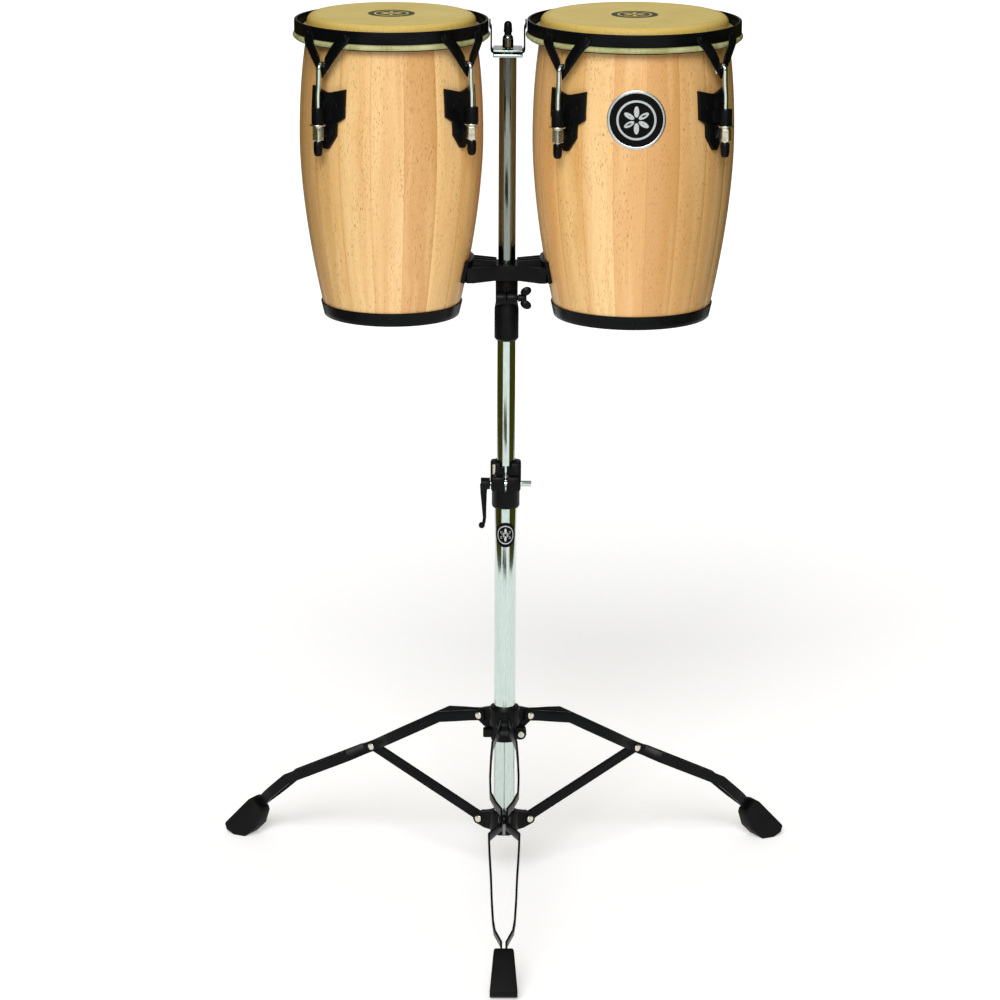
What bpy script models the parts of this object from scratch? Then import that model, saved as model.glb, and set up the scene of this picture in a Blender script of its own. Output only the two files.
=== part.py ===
"""Two small conga drums on a height-adjustable, double-braced tripod stand.

Sizes are in millimetres and degrees, and become metres where a mesh is made. Heights are above the
floor. Everything is laid out round the stand's tube: X runs from the small drum to the large one, and
Y from the player's side to the back. The empty conga_stand holds all the pieces, and its place
puts the middle of the footprint over the world origin.
"""

from math import asin, atan2, cos, degrees, hypot, pi, radians, sin

import bmesh
import bpy
from mathutils import Matrix, Vector

MM = 0.001

# ---- clearances -------------------------------------------------------------------------------
GAP = 0.4                    # between pieces that rest on or fit in each other
TUBE_GAP = 0.35              # between a tube and what grips it
PIN_GAP = 0.45               # round a rivet or a rod, in its hole

# ---- drums ------------------------------------------------------------------------------------
HOOP_TOP = 1106.5            # top edge of both hoops
HOOP_TALL = 15.0
HOOP_WALL = 3.5
RING_SECTION = 3.4           # radius of the flesh ring's round section
HEAD_CROWN = 5.8             # the skin's flat top, above the hoop's top edge
SKIN = 1.6
SHELL_BOTTOM = 742.8
BELLY_HEIGHT = 961.0         # where the shell is widest
WALL = 7.0                   # of the staves
BOTTOM_RING_TALL = 16.7
BOTTOM_RING_WALL = 1.6
LUGS = 4
LUG_TURN = 4.0               # how far the four lugs are turned from the diagonals

# x: the drum's axis; head: at the skin's shoulder; the others: outer radii down the drum
DRUMS = {
    "left": {"x": -141.0, "head": 102.3, "top": 99.0, "belly": 111.8, "foot": 80.9, "hoop": 117.7, "rod": 130.0},
    "right": {"x": 153.0, "head": 113.7, "top": 110.4, "belly": 122.8, "foot": 93.4, "hoop": 129.8, "rod": 142.0},
}

# ---- tuning hardware --------------------------------------------------------------------------
STRAP_THICK = 2.6            # V straps on the hoop
STRAP_WIDE = 11.5
STRAP_SUNK = 1.1             # of its thickness, in the hoop it is riveted to
STRAP_SPREAD = 30.0          # from the lug's middle to a strap rivet, along the hoop
STRAP_RIVET_DROP = 7.5       # rivets below the hoop's top edge
STRAP_APEX_DROP = 50.5       # middle of the strap's low point below the hoop's top edge
STRAP_LEAN = 4.6             # how far the low point stands outside the hoop
ROD = 3.15                   # radius of the J hooks
ROD_BOTTOM = 957.0
HOOK_REACH = 6.2             # radius of the hook's bend
HOOK_SET_IN = 1.6            # S bend: how far the hook's upper part is inside the lower
BOSS_TOP, BOSS_BOTTOM = 1013.0, 994.0
BOSS = 8.0
LUG_THICK = 5.0
LUG_HALF_WIDE = 26.0
LUG_TOP, LUG_TIP = 1035.5, 962.0
NUT_FLATS = 12.9
NUT_TALL = 15.0
WASHER_ROOM = 4.6            # between boss and nut

# ---- rack -------------------------------------------------------------------------------------
POST = 10.6                  # outer radius of the post between the drums
POST_BORE = 9.2
PLATE_DEEP = 39.0
PLATE_HALF = 18.0
SADDLE_BOTTOM, SADDLE_TOP = 1061.8, 1066.0
STUD = 3.8
STUD_TOP = 1092.0
TOP_PLATE_THICK = 2.2
HANGER_THICK = 2.0
HANGER_WIDE = 30.0
TOP_NUT_FLATS = 13.4
SPREADER_BOTTOM, SPREADER_TOP = 787.0, 806.0
PAD_TOP = 814.0
PAD_HALF_DEEP = 37.0
PAD_THICK = 4.5
WAIST_HALF_DEEP = 20.0
HOLDER_BOTTOM = 709.0
WING_HEIGHT = 765.0
BARREL = 8.5                 # of the holder, round the wing bolt
WING_SCREW = 3.0

# ---- tubes and the height clamp ---------------------------------------------------------------
UPPER_TUBE = 11.1
HOLDER = UPPER_TUBE + 3.8    # outer radius of the holder's wider foot
WING_FORWARD = UPPER_TUBE + 4.5  # the wing bolt passes in front of the tube
UPPER_TUBE_BOTTOM, UPPER_TUBE_TOP = 262.0, 779.0
LOWER_TUBE = 13.5
TUBE_WALL = 1.5
LOWER_TUBE_BOTTOM, LOWER_TUBE_TOP = 72.0, 515.0
CLAMP_BOTTOM, CLAMP_TOP = 497.0, 557.0
CLAMP_HALF_WIDE = LOWER_TUBE + 5.5
CLAMP_BOLT = 3.75
BOLT_HEIGHT = 531.0
BOLT_FORWARD = 18.5          # from the tube's axis towards the player
BOLT_END = 31.5
LEVER_HUB = 7.3
LEVER_DROP = 53.5

# ---- tripod -----------------------------------------------------------------------------------
LEG_TURNS = {"front": -90.0, "back_right": 30.0, "back_left": 150.0}
PIVOT_R = 33.4               # of the legs' and the braces' inner pivots
COLLAR_PIVOT = 221.4
HUB_PIVOT = 84.2
KNEE_R = 194.4               # the rivet that joins leg and brace
KNEE_HEIGHT = (COLLAR_PIVOT + HUB_PIVOT) / 2
STRIP_TALL = 13.5
STRIP_THICK = 2.5
PIVOT_SPREAD = 6.1           # middle of a strip from the leg's middle, at the collar
KNEE_SPREAD = 3.5            # the same, at the knee
BOW = 17.6                   # the same, where the strips are bowed apart
FOOT_SPREAD = 3.1
RIVET = 2.6
RIVET_HEAD = 4.2
EAR_THICK = 8.8
COLLAR = LOWER_TUBE + 5.8    # outer radius
COLLAR_BOTTOM, COLLAR_TOP = 194.0, 238.0
BRACE_THICK = 3.5
BRACE_TALL = 13.0
FORK_THICK = 5.0
HUB = LOWER_TUBE + 4.8       # outer radius
HUB_TOP = 98.0
LEG_BEND = (88.0, 212.5)     # where the leg turns down: radius, height
ANKLE = (318.0, 90.6)        # where it turns down more steeply
FOOT_ENTRY = (366.5, 47.5)   # where the strips go into the rubber foot
FOOT_DEPTH = 14.0            # how far in they go
TOE = (414.5, 14.0)
FOOT_WIDE_TOP, FOOT_WIDE = 23.0, 33.5

STEPS = 32                   # round a drum
TUBE_STEPS = 20

# the footprint is longer in front of the tube than behind it
FRONT_REACH = TOE[0]
BACK_REACH = TOE[0] * sin(radians(30)) + FOOT_WIDE / 2 * cos(radians(30))
AXIS_Y = (FRONT_REACH - BACK_REACH) / 2


# ---- scene ------------------------------------------------------------------------------------
def collection(name):
    made = bpy.data.collections.new(name)
    bpy.context.scene.collection.children.link(made)
    return made


for old in list(bpy.data.objects):
    bpy.data.objects.remove(old, do_unlink=True)
PARTS = collection("conga_drums")
WORK = collection("shapes_in_work")
STAND = bpy.data.objects.new("conga_stand", None)
STAND.location = (0, AXIS_Y * MM, 0)
PARTS.objects.link(STAND)


def material(name, colour, roughness, metallic=0.0):
    made = bpy.data.materials.new(name)
    made.use_nodes = True
    shader = made.node_tree.nodes["Principled BSDF"]
    shader.inputs["Base Color"].default_value = (*colour, 1)
    shader.inputs["Roughness"].default_value = roughness
    shader.inputs["Metallic"].default_value = metallic
    made.diffuse_color = (*colour, 1)
    return made


WOOD = material("blond_wood", (0.68, 0.40, 0.15), 0.4)
HIDE = material("natural_skin", (0.72, 0.56, 0.22), 0.6)
RAWHIDE = material("skin_over_ring", (0.60, 0.55, 0.30), 0.6)
BLACK = material("black_powder_coat", (0.012, 0.013, 0.015), 0.35)
CAST = material("black_casting", (0.010, 0.010, 0.012), 0.45)
CHROME = material("chrome", (0.78, 0.80, 0.80), 0.08, 1.0)
NICKEL = material("nickel", (0.72, 0.70, 0.60), 0.25, 1.0)
RUBBER = material("black_rubber", (0.010, 0.010, 0.010), 0.75)


# ---- shapes -----------------------------------------------------------------------------------
def scaled(point):
    return Vector(point) * MM


def shape(mesh):
    made = bpy.data.objects.new("shape", mesh)
    WORK.objects.link(made)
    return made


def shape_from(bm):
    bmesh.ops.recalc_face_normals(bm, faces=bm.faces)
    mesh = bpy.data.meshes.new("shape")
    bm.to_mesh(mesh)
    bm.free()
    return shape(mesh)


def settled(piece):
    """The piece with its modifiers or its curve made plain mesh, welded and facing out."""
    graph = bpy.context.evaluated_depsgraph_get()
    graph.update()
    mesh = bpy.data.meshes.new_from_object(piece.evaluated_get(graph))
    matrix = piece.matrix_world.copy()
    bpy.data.objects.remove(piece, do_unlink=True)
    bm = bmesh.new()
    bm.from_mesh(mesh)
    bmesh.ops.transform(bm, matrix=matrix, verts=bm.verts)
    bmesh.ops.remove_doubles(bm, verts=bm.verts, dist=2e-6)
    bmesh.ops.recalc_face_normals(bm, faces=bm.faces)
    bm.to_mesh(mesh)
    bm.free()
    return shape(mesh)


def turned(profile, steps=STEPS, centre=(0, 0)):
    """A closed profile of (radius, height) points turned about a vertical axis."""
    mesh = bpy.data.meshes.new("profile")
    points = [scaled((r, 0, z)) for r, z in profile]
    count = len(points)
    mesh.from_pydata(points, [(i, (i + 1) % count) for i in range(count)], [])
    piece = shape(mesh)
    screw = piece.modifiers.new("turn", "SCREW")
    screw.steps = steps
    screw.render_steps = steps
    screw.use_merge_vertices = True
    screw.merge_threshold = 1e-5
    piece = settled(piece)
    bm = bmesh.new()
    bm.from_mesh(piece.data)
    on_axis = [e for e in bm.edges if all(hypot(v.co.x, v.co.y) < 1e-6 for v in e.verts)]
    bmesh.ops.delete(bm, geom=on_axis, context="EDGES")
    bmesh.ops.recalc_face_normals(bm, faces=bm.faces)
    bm.to_mesh(piece.data)
    bm.free()
    return moved(piece, Matrix.Translation(scaled((*centre, 0))))


def box(low, high, bevel=0.0, segments=2):
    bm = bmesh.new()
    size = [b - a for a, b in zip(low, high)]
    centre = [(a + b) / 2 for a, b in zip(low, high)]
    matrix = Matrix.Translation(scaled(centre)) @ Matrix.Diagonal((*scaled(size), 1))
    bmesh.ops.create_cube(bm, size=1, matrix=matrix)
    if bevel:
        bmesh.ops.bevel(bm, geom=bm.edges[:], offset=bevel * MM, segments=segments, affect="EDGES", profile=0.5)
    return shape_from(bm)


ALONG = {
    "x": Matrix.Rotation(pi / 2, 4, "Y"),
    "y": Matrix.Rotation(-pi / 2, 4, "X"),
    "z": Matrix.Identity(4),
}


def cylinder(radius, start, end, place=(0, 0), along="z", sides=24, end_radius=None, turn=0.0):
    """A cylinder or cone between two coordinates along an axis, at a place across it (in axis order)."""
    bm = bmesh.new()
    bmesh.ops.create_cone(
        bm,
        cap_ends=True,
        segments=sides,
        radius1=radius * MM,
        radius2=(radius if end_radius is None else end_radius) * MM,
        depth=abs(end - start) * MM,
        matrix=Matrix.Rotation(radians(turn), 4, "Z"),
    )
    middle = (start + end) / 2
    a, b = place
    centre = {"x": (middle, a, b), "y": (a, middle, b), "z": (a, b, middle)}[along]
    bmesh.ops.transform(bm, matrix=Matrix.Translation(scaled(centre)) @ ALONG[along], verts=bm.verts)
    return shape_from(bm)


def ball(radius, centre, rings=6, sides=10, squash=(1, 1, 1)):
    bm = bmesh.new()
    matrix = Matrix.Translation(scaled(centre)) @ Matrix.Diagonal((*squash, 1))
    bmesh.ops.create_uvsphere(bm, u_segments=sides, v_segments=rings, radius=radius * MM, matrix=matrix)
    return shape_from(bm)


def wire(points, radius, radii=None, sides=8):
    """A round wire through the points."""
    curve = bpy.data.curves.new("wire", "CURVE")
    curve.dimensions = "3D"
    curve.bevel_depth = radius * MM
    curve.bevel_resolution = (sides - 4) // 2
    curve.use_fill_caps = True
    spline = curve.splines.new("POLY")
    spline.points.add(len(points) - 1)
    for i, point in enumerate(points):
        spline.points[i].co = (*scaled(point), 1)
        spline.points[i].radius = radii[i] / radius if radii else 1.0
    return settled(shape(curve))


def plate(outlines, thick, matrix=None):
    """Flat outlines of (x, y) points, the first the rim and the rest its holes, made this thick about z = 0."""
    curve = bpy.data.curves.new("outline", "CURVE")
    curve.dimensions = "2D"
    curve.fill_mode = "BOTH"
    curve.extrude = thick / 2 * MM
    for outline in outlines:
        spline = curve.splines.new("POLY")
        spline.points.add(len(outline) - 1)
        for i, (x, y) in enumerate(outline):
            spline.points[i].co = (x * MM, y * MM, 0, 1)
        spline.use_cyclic_u = True
    return moved(settled(shape(curve)), matrix or Matrix.Identity(4))


def sheet(rows, thick):
    """A surface through rows of points, made this thick about it."""
    bm = bmesh.new()
    bmesh.ops.create_grid(bm, x_segments=len(rows[0]) - 1, y_segments=len(rows) - 1, size=0.5)
    order = sorted(bm.verts, key=lambda v: (round(v.co.y, 5), round(v.co.x, 5)))
    for vert, point in zip(order, [p for row in rows for p in row], strict=True):
        vert.co = scaled(point)
    mesh = bpy.data.meshes.new("sheet")
    bm.to_mesh(mesh)
    bm.free()
    piece = shape(mesh)
    solid = piece.modifiers.new("thickness", "SOLIDIFY")
    solid.thickness = thick * MM
    solid.offset = 0
    solid.use_even_offset = True
    return settled(piece)


def moved(piece, matrix):
    piece.data.transform(matrix)
    piece.data.update()
    return piece


def copy_of(piece):
    return shape(piece.data.copy())


def joined(piece, *others, operation="UNION"):
    for other in others:
        step = piece.modifiers.new("step", "BOOLEAN")
        step.operation = operation
        step.solver = "MANIFOLD"
        step.object = other
    piece = settled(piece)
    for other in others:
        bpy.data.objects.remove(other, do_unlink=True)
    return piece


def cut(piece, *others):
    return joined(piece, *others, operation="DIFFERENCE")


def finish(piece, name, coat, pivot=(0, 0, 0)):
    """Name the piece, put its origin on its joint's axis, and hang it on the stand."""
    made = bpy.data.objects.new(name, piece.data)
    bpy.data.objects.remove(piece, do_unlink=True)
    made.data.transform(Matrix.Translation(-scaled(pivot)))
    made.data.name = name
    made.data.materials.clear()
    made.data.materials.append(coat)
    made.data.shade_smooth()
    made.data.set_sharp_from_angle(angle=radians(32))
    made.location = scaled(pivot)
    made.parent = STAND
    PARTS.objects.link(made)
    return made


def arc(centre, radius, start, end, steps):
    return [
        (
            centre[0] + radius * cos(radians(start + (end - start) * i / steps)),
            centre[1] + radius * sin(radians(start + (end - start) * i / steps)),
        )
        for i in range(steps + 1)
    ]


def circle(centre, radius, steps=12):
    return arc(centre, radius, 0, 360, steps)[:-1]


def upright(turn):
    """Takes a plate drawn in (radius, height) to the upright plane at this turn about the tube."""
    return Matrix.Rotation(radians(turn), 4, "Z") @ Matrix.Rotation(pi / 2, 4, "X")


# ---- drums ------------------------------------------------------------------------------------
HEAD_TOP = HOOP_TOP + HEAD_CROWN
SHELL_TOP = HEAD_TOP - SKIN - GAP
HOOP_BOTTOM = HOOP_TOP - HOOP_TALL
RING_HEIGHT = HOOP_BOTTOM - GAP - RING_SECTION
RING_OUT = 1.7               # how far the flesh ring stands out past the hoop


def shell_radius(drum, height):
    """The shell's outer radius: a soft curve above the belly, and a longer one below it."""
    if height > BELLY_HEIGHT:
        share = (height - BELLY_HEIGHT) / (SHELL_TOP - BELLY_HEIGHT)
        return drum["belly"] - (drum["belly"] - drum["top"]) * share**2.2
    share = (BELLY_HEIGHT - height) / (BELLY_HEIGHT - SHELL_BOTTOM)
    return drum["belly"] - (drum["belly"] - drum["foot"]) * share**1.7


def heights(top, bottom, count):
    return [top + (bottom - top) * i / count for i in range(count + 1)]


def make_shell(side, drum):
    outer = [(shell_radius(drum, z), z) for z in heights(SHELL_TOP - 4.5, SHELL_BOTTOM, 9)]
    inner = [(r - WALL, z) for r, z in outer[::-3]]
    top = drum["top"]
    edge = [(top - WALL + 1, SHELL_TOP), (top - 5, SHELL_TOP - 0.8), (top - 1.8, SHELL_TOP - 2.2)]
    finish(turned(outer + inner + edge, centre=(drum["x"], 0)), f"{side}_shell", WOOD, (drum["x"], 0, 0))


def skin_line(drum):
    """The skin's outer face from the middle of the head to the skirt's lower edge."""
    r = drum["head"]
    skirt_end = drum["hoop"] - HOOP_WALL - 3.2
    shoulder = arc((r - 8, HEAD_TOP - 8), 8, 90, 8, 3)
    skirt = [(r + 0.7, HEAD_TOP - 12), ((r + skirt_end) / 2 + 0.5, RING_HEIGHT + 10.5), (skirt_end, RING_HEIGHT + 7.6)]
    return shoulder + skirt


def make_head(side, drum):
    outer = skin_line(drum)
    inner = [(r - SKIN * 0.75, z - SKIN) for r, z in outer]
    inner[-1] = (outer[-1][0] - 1.4, outer[-1][1] - 1.2)
    profile = [(0, HEAD_TOP)] + outer + inner[::-1] + [(0, HEAD_TOP - SKIN)]
    finish(turned(profile, centre=(drum["x"], 0)), f"{side}_head", HIDE, (drum["x"], 0, 0))


def make_flesh_ring(side, drum):
    middle = (drum["hoop"] + RING_OUT - RING_SECTION, RING_HEIGHT)
    ring = turned(circle(middle, RING_SECTION, 6), centre=(drum["x"], 0))
    finish(ring, f"{side}_flesh_ring", RAWHIDE, (drum["x"], 0, 0))


def strap_point(drum, along, height):
    """A point on the surface the V straps lie on: hoop at the top, leaning out past the flesh ring."""
    rivets = HOOP_TOP - STRAP_RIVET_DROP
    lean = STRAP_LEAN * min(1.0, max(0.0, (rivets - height) / (rivets - RING_HEIGHT)))
    r = drum["hoop"] + STRAP_THICK / 2 - STRAP_SUNK + lean
    angle = along / drum["hoop"]
    return (r * cos(angle), r * sin(angle), height)


def strap_rows(drum, half):
    """One arm of a V strap, from its low point up to its rivet: two rows of points."""
    low = HOOP_TOP - STRAP_APEX_DROP
    high = HOOP_TOP - STRAP_RIVET_DROP
    rise = high - low
    length = hypot(STRAP_SPREAD, rise)
    across = (rise / length * STRAP_WIDE / 2, STRAP_SPREAD / length * STRAP_WIDE / 2)
    mitre = STRAP_WIDE / 2 * length / STRAP_SPREAD
    lower, upper = [strap_point(drum, 0, low - mitre)], [strap_point(drum, 0, low + mitre)]
    for i in range(1, 5):
        share = i / 4
        s, z = STRAP_SPREAD * share, low + rise * share
        lower.append(strap_point(drum, half * (s + across[0]), z - across[1]))
        upper.append(strap_point(drum, half * max(s - across[0], 0.35), min(z + across[1], HOOP_TOP - 2)))
    return [row if half > 0 else row[::-1] for row in (lower, upper)]


SLOT = ROD + 0.75            # half width of the slot that the hook lies in, at the V's low point
SLOT_HEIGHT = HOOP_TOP - STRAP_APEX_DROP + 8.9


def make_slot(drum):
    """What is cut from a V strap for the hook: round below and open above."""
    start, end = drum["hoop"] + 0.5, drum["hoop"] + 12
    return joined(
        cylinder(SLOT, start, end, (0, SLOT_HEIGHT), "x", 16),
        box((start + 0.3, -SLOT + 0.02, SLOT_HEIGHT), (end - 0.3, SLOT - 0.02, SLOT_HEIGHT + 8.0)),
    )


def lug_turns():
    return [45 + LUG_TURN + 360 / LUGS * i for i in range(LUGS)]


def make_hoop(side, drum):
    r = drum["hoop"]
    profile = [(r - HOOP_WALL, HOOP_TOP), (r, HOOP_TOP), (r, HOOP_BOTTOM), (r - HOOP_WALL, HOOP_BOTTOM)]
    hoop = turned(profile)
    extras, slots = [], []
    for turn in lug_turns():
        spin = Matrix.Rotation(radians(turn), 4, "Z")
        lower, upper = strap_rows(drum, -1)
        lower_right, upper_right = strap_rows(drum, 1)
        strap = sheet([lower + lower_right[1:], upper + upper_right[1:]], STRAP_THICK)
        extras.append(moved(strap, spin))
        slots.append(moved(make_slot(drum), spin))
        for half in (-1, 1):
            angle = degrees(half * STRAP_SPREAD / r)
            rivet = cylinder(4.2, r - 2, r + STRAP_THICK + 1.8, (0, HOOP_TOP - STRAP_RIVET_DROP), "x", 10, 2.6)
            extras.append(moved(rivet, spin @ Matrix.Rotation(radians(angle), 4, "Z")))
    hoop = cut(joined(hoop, *extras), *slots)
    hoop = moved(hoop, Matrix.Translation(scaled((drum["x"], 0, 0))))
    finish(hoop, f"{side}_hoop", BLACK, (drum["x"], 0, 0))


def hook_line(drum):
    """The J hook's middle line in (radius, height), from its threaded end to its tip."""
    upper = drum["rod"] - HOOK_SET_IN
    bend = SLOT_HEIGHT - HOOK_REACH
    line = [(drum["rod"], ROD_BOTTOM), (drum["rod"], BOSS_TOP + 15), (drum["rod"] - 0.3, BOSS_TOP + 22)]
    line += [(upper + 0.3, bend - 14), (upper, bend - 7)]
    line += arc((upper - HOOK_REACH, bend), HOOK_REACH, 0, 180, 5)
    line.append((upper - 2 * HOOK_REACH, bend - 4))
    return line


def make_hooks(side, drum):
    wireform = wire([(r, 0, z) for r, z in hook_line(drum)], ROD, sides=6)
    for number, turn in enumerate(lug_turns(), 1):
        spin = Matrix.Translation(scaled((drum["x"], 0, 0))) @ Matrix.Rotation(radians(turn), 4, "Z")
        finish(moved(copy_of(wireform), spin), f"{side}_hook_{number}", CHROME, (drum["x"], 0, 0))
    bpy.data.objects.remove(wireform)


def lug_edges(t):
    """Top and bottom of the lug's plate at this distance from its middle."""
    t = abs(t)
    top = LUG_TOP - 6.5 * (1 - t / LUG_HALF_WIDE)
    if t <= 3:
        bottom = LUG_TIP
    elif t <= 14.6:
        bottom = LUG_TIP + (t - 3) / 11.6 * 16.5
    else:
        bottom = LUG_TIP + 32 + (t - 15) / 11 * 7
    return top, bottom


def make_lugs(side, drum):
    halves = [3, 14.6, 15.2, LUG_HALF_WIDE]
    columns = [-t for t in halves[::-1]] + halves
    rows = []
    for share in (0.0, 0.35, 0.7, 1.0):
        row = []
        for t in columns:
            top, bottom = lug_edges(t)
            z = bottom + (top - bottom) * share
            r = shell_radius(drum, z) + GAP + 0.3 + LUG_THICK / 2
            row.append((r * cos(t / r), r * sin(t / r), z))
        rows.append(row)
    lug = sheet(rows, LUG_THICK)
    rod = drum["rod"]
    root = shell_radius(drum, (BOSS_TOP + BOSS_BOTTOM) / 2) + 3.5
    neck = box((root, -6.2, BOSS_BOTTOM + 1.5), (rod, 6.2, BOSS_TOP - 1.5), 1.2, 1)
    ramp = plate([[(root, LUG_TIP + 12), (root + 4.5, LUG_TIP + 16), (rod - 6, BOSS_BOTTOM + 4), (rod - 6, BOSS_TOP - 4),
                   (root + 4.5, BOSS_TOP + 8), (root, BOSS_TOP + 11)]], 5.0, upright(0))
    boss = cylinder(BOSS, BOSS_BOTTOM, BOSS_TOP, (rod, 0), sides=12)
    lug = joined(lug, neck, ramp, boss)
    lug = cut(lug, cylinder(ROD + PIN_GAP, BOSS_BOTTOM - 5, BOSS_TOP + 5, (rod, 0), sides=10))
    for number, turn in enumerate(lug_turns(), 1):
        spin = Matrix.Translation(scaled((drum["x"], 0, 0))) @ Matrix.Rotation(radians(turn), 4, "Z")
        finish(moved(copy_of(lug), spin), f"{side}_lug_{number}", CAST, (drum["x"], 0, 0))
    bpy.data.objects.remove(lug)


def make_nuts(side, drum):
    top = BOSS_BOTTOM - WASHER_ROOM
    nut = cylinder(NUT_FLATS / 2 / cos(pi / 6), top - NUT_TALL, top, sides=6)
    nut = cut(nut, cylinder(ROD + PIN_GAP, top - NUT_TALL - 5, top + 5, sides=12))
    for number, turn in enumerate(lug_turns(), 1):
        x = drum["x"] + drum["rod"] * cos(radians(turn))
        y = drum["rod"] * sin(radians(turn))
        place = Matrix.Translation(scaled((x, y, 0))) @ Matrix.Rotation(radians(turn + 12), 4, "Z")
        finish(moved(copy_of(nut), place), f"{side}_nut_{number}", NICKEL, (x, y, top))
    bpy.data.objects.remove(nut)


def make_bottom_ring(side, drum):
    top = SHELL_BOTTOM + BOTTOM_RING_TALL
    inner = [(shell_radius(drum, z) + GAP, z) for z in (SHELL_BOTTOM, (SHELL_BOTTOM + top) / 2, top)]
    outer = [(r + BOTTOM_RING_WALL, z) for r, z in inner[::-1]]
    finish(turned(outer + inner, centre=(drum["x"], 0)), f"{side}_bottom_ring", BLACK, (drum["x"], 0, 0))


def make_hanger(side, drum):
    """A bent strap from the hoop's facing side, past the flesh ring, in between the two top plates."""
    way = 1 if drum["x"] < 0 else -1
    hoop_face = drum["x"] + way * drum["hoop"]
    ring_face = hoop_face + way * RING_OUT
    half = HANGER_THICK / 2
    at_hoop = hoop_face + way * (GAP + half)
    at_ring = ring_face + way * (GAP + half)
    foot = SADDLE_TOP + GAP + half
    plate_edge = -way * (PLATE_HALF + half + GAP + 0.8)
    line = [
        (at_hoop, HOOP_TOP - 2.0),
        (at_hoop, HOOP_BOTTOM + 7.5),
        (at_ring, HOOP_BOTTOM + 4),
        (at_ring, RING_HEIGHT - 6.5),
        (plate_edge, foot + 12),
        (plate_edge, foot + 4),
        (plate_edge + way * 0.6, foot + 1.2),
        (plate_edge + way * 2.2, foot),
        (-way * (STUD + 1.5), foot),
    ]
    rows = [[(x, y, z) for x, z in line] for y in (-HANGER_WIDE / 2, HANGER_WIDE / 2)]
    finish(sheet(rows, HANGER_THICK), f"{side}_hanger", BLACK)


for side, drum in DRUMS.items():
    make_shell(side, drum)
    make_head(side, drum)
    make_flesh_ring(side, drum)
    make_hoop(side, drum)
    make_hooks(side, drum)
    make_lugs(side, drum)
    make_nuts(side, drum)
    make_bottom_ring(side, drum)
    make_hanger(side, drum)


# ---- top of the rack --------------------------------------------------------------------------
def tube(radius, bore, bottom, top):
    return turned([(bore, top), (radius, top), (radius, bottom), (bore, bottom)], TUBE_STEPS)


TOP_PLATE_BOTTOM = SADDLE_TOP + HANGER_THICK + 2 * GAP
TOP_PLATE_TOP = TOP_PLATE_BOTTOM + TOP_PLATE_THICK
POST_BOTTOM = SPREADER_BOTTOM + 0.6
finish(tube(POST, POST_BORE, POST_BOTTOM, SADDLE_BOTTOM - GAP), "post", CHROME)

saddle = box((-PLATE_HALF, -PLATE_DEEP / 2, SADDLE_BOTTOM), (PLATE_HALF, PLATE_DEEP / 2, SADDLE_TOP), 0.8, 1)
finish(joined(saddle, cylinder(STUD, SADDLE_TOP - 2, STUD_TOP, sides=16)), "saddle", CHROME)

top_plate = box(
    (-PLATE_HALF, -PLATE_DEEP / 2, TOP_PLATE_BOTTOM), (PLATE_HALF, PLATE_DEEP / 2, TOP_PLATE_TOP), 0.6, 1
)
top_plate = cut(top_plate, cylinder(STUD + PIN_GAP, TOP_PLATE_BOTTOM - 5, TOP_PLATE_TOP + 5, sides=16))
finish(top_plate, "top_plate", CHROME)

nut_bottom = TOP_PLATE_TOP + GAP
hex_radius = TOP_NUT_FLATS / 2 / cos(pi / 6)
top_nut = joined(
    cylinder(hex_radius, nut_bottom, nut_bottom + 11.5, sides=6, turn=30),
    cylinder(TOP_NUT_FLATS / 2 - 0.1, nut_bottom + 10, nut_bottom + 17, sides=20, end_radius=3.8),
    cylinder(4.3, nut_bottom + 15.5, nut_bottom + 19.5, sides=16),
    cylinder(4.9, nut_bottom + 18.5, nut_bottom + 28, sides=16, end_radius=4.6),
    ball(4.6, (0, 0, nut_bottom + 28), 6, 16),
)
top_nut = cut(top_nut, cylinder(STUD + 0.35, nut_bottom - 5, STUD_TOP + 0.6, sides=16))
finish(top_nut, "top_nut", NICKEL)


# ---- bottom of the rack -----------------------------------------------------------------------
def pad_arc(drum, radius, way, steps=8):
    """Plan points on a circle round the drum's axis, over the pad's depth."""
    half = degrees(asin(PAD_HALF_DEEP / radius))
    middle = 0 if way > 0 else 180
    return arc((drum["x"], 0), radius, middle - half, middle + half, steps)


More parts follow.
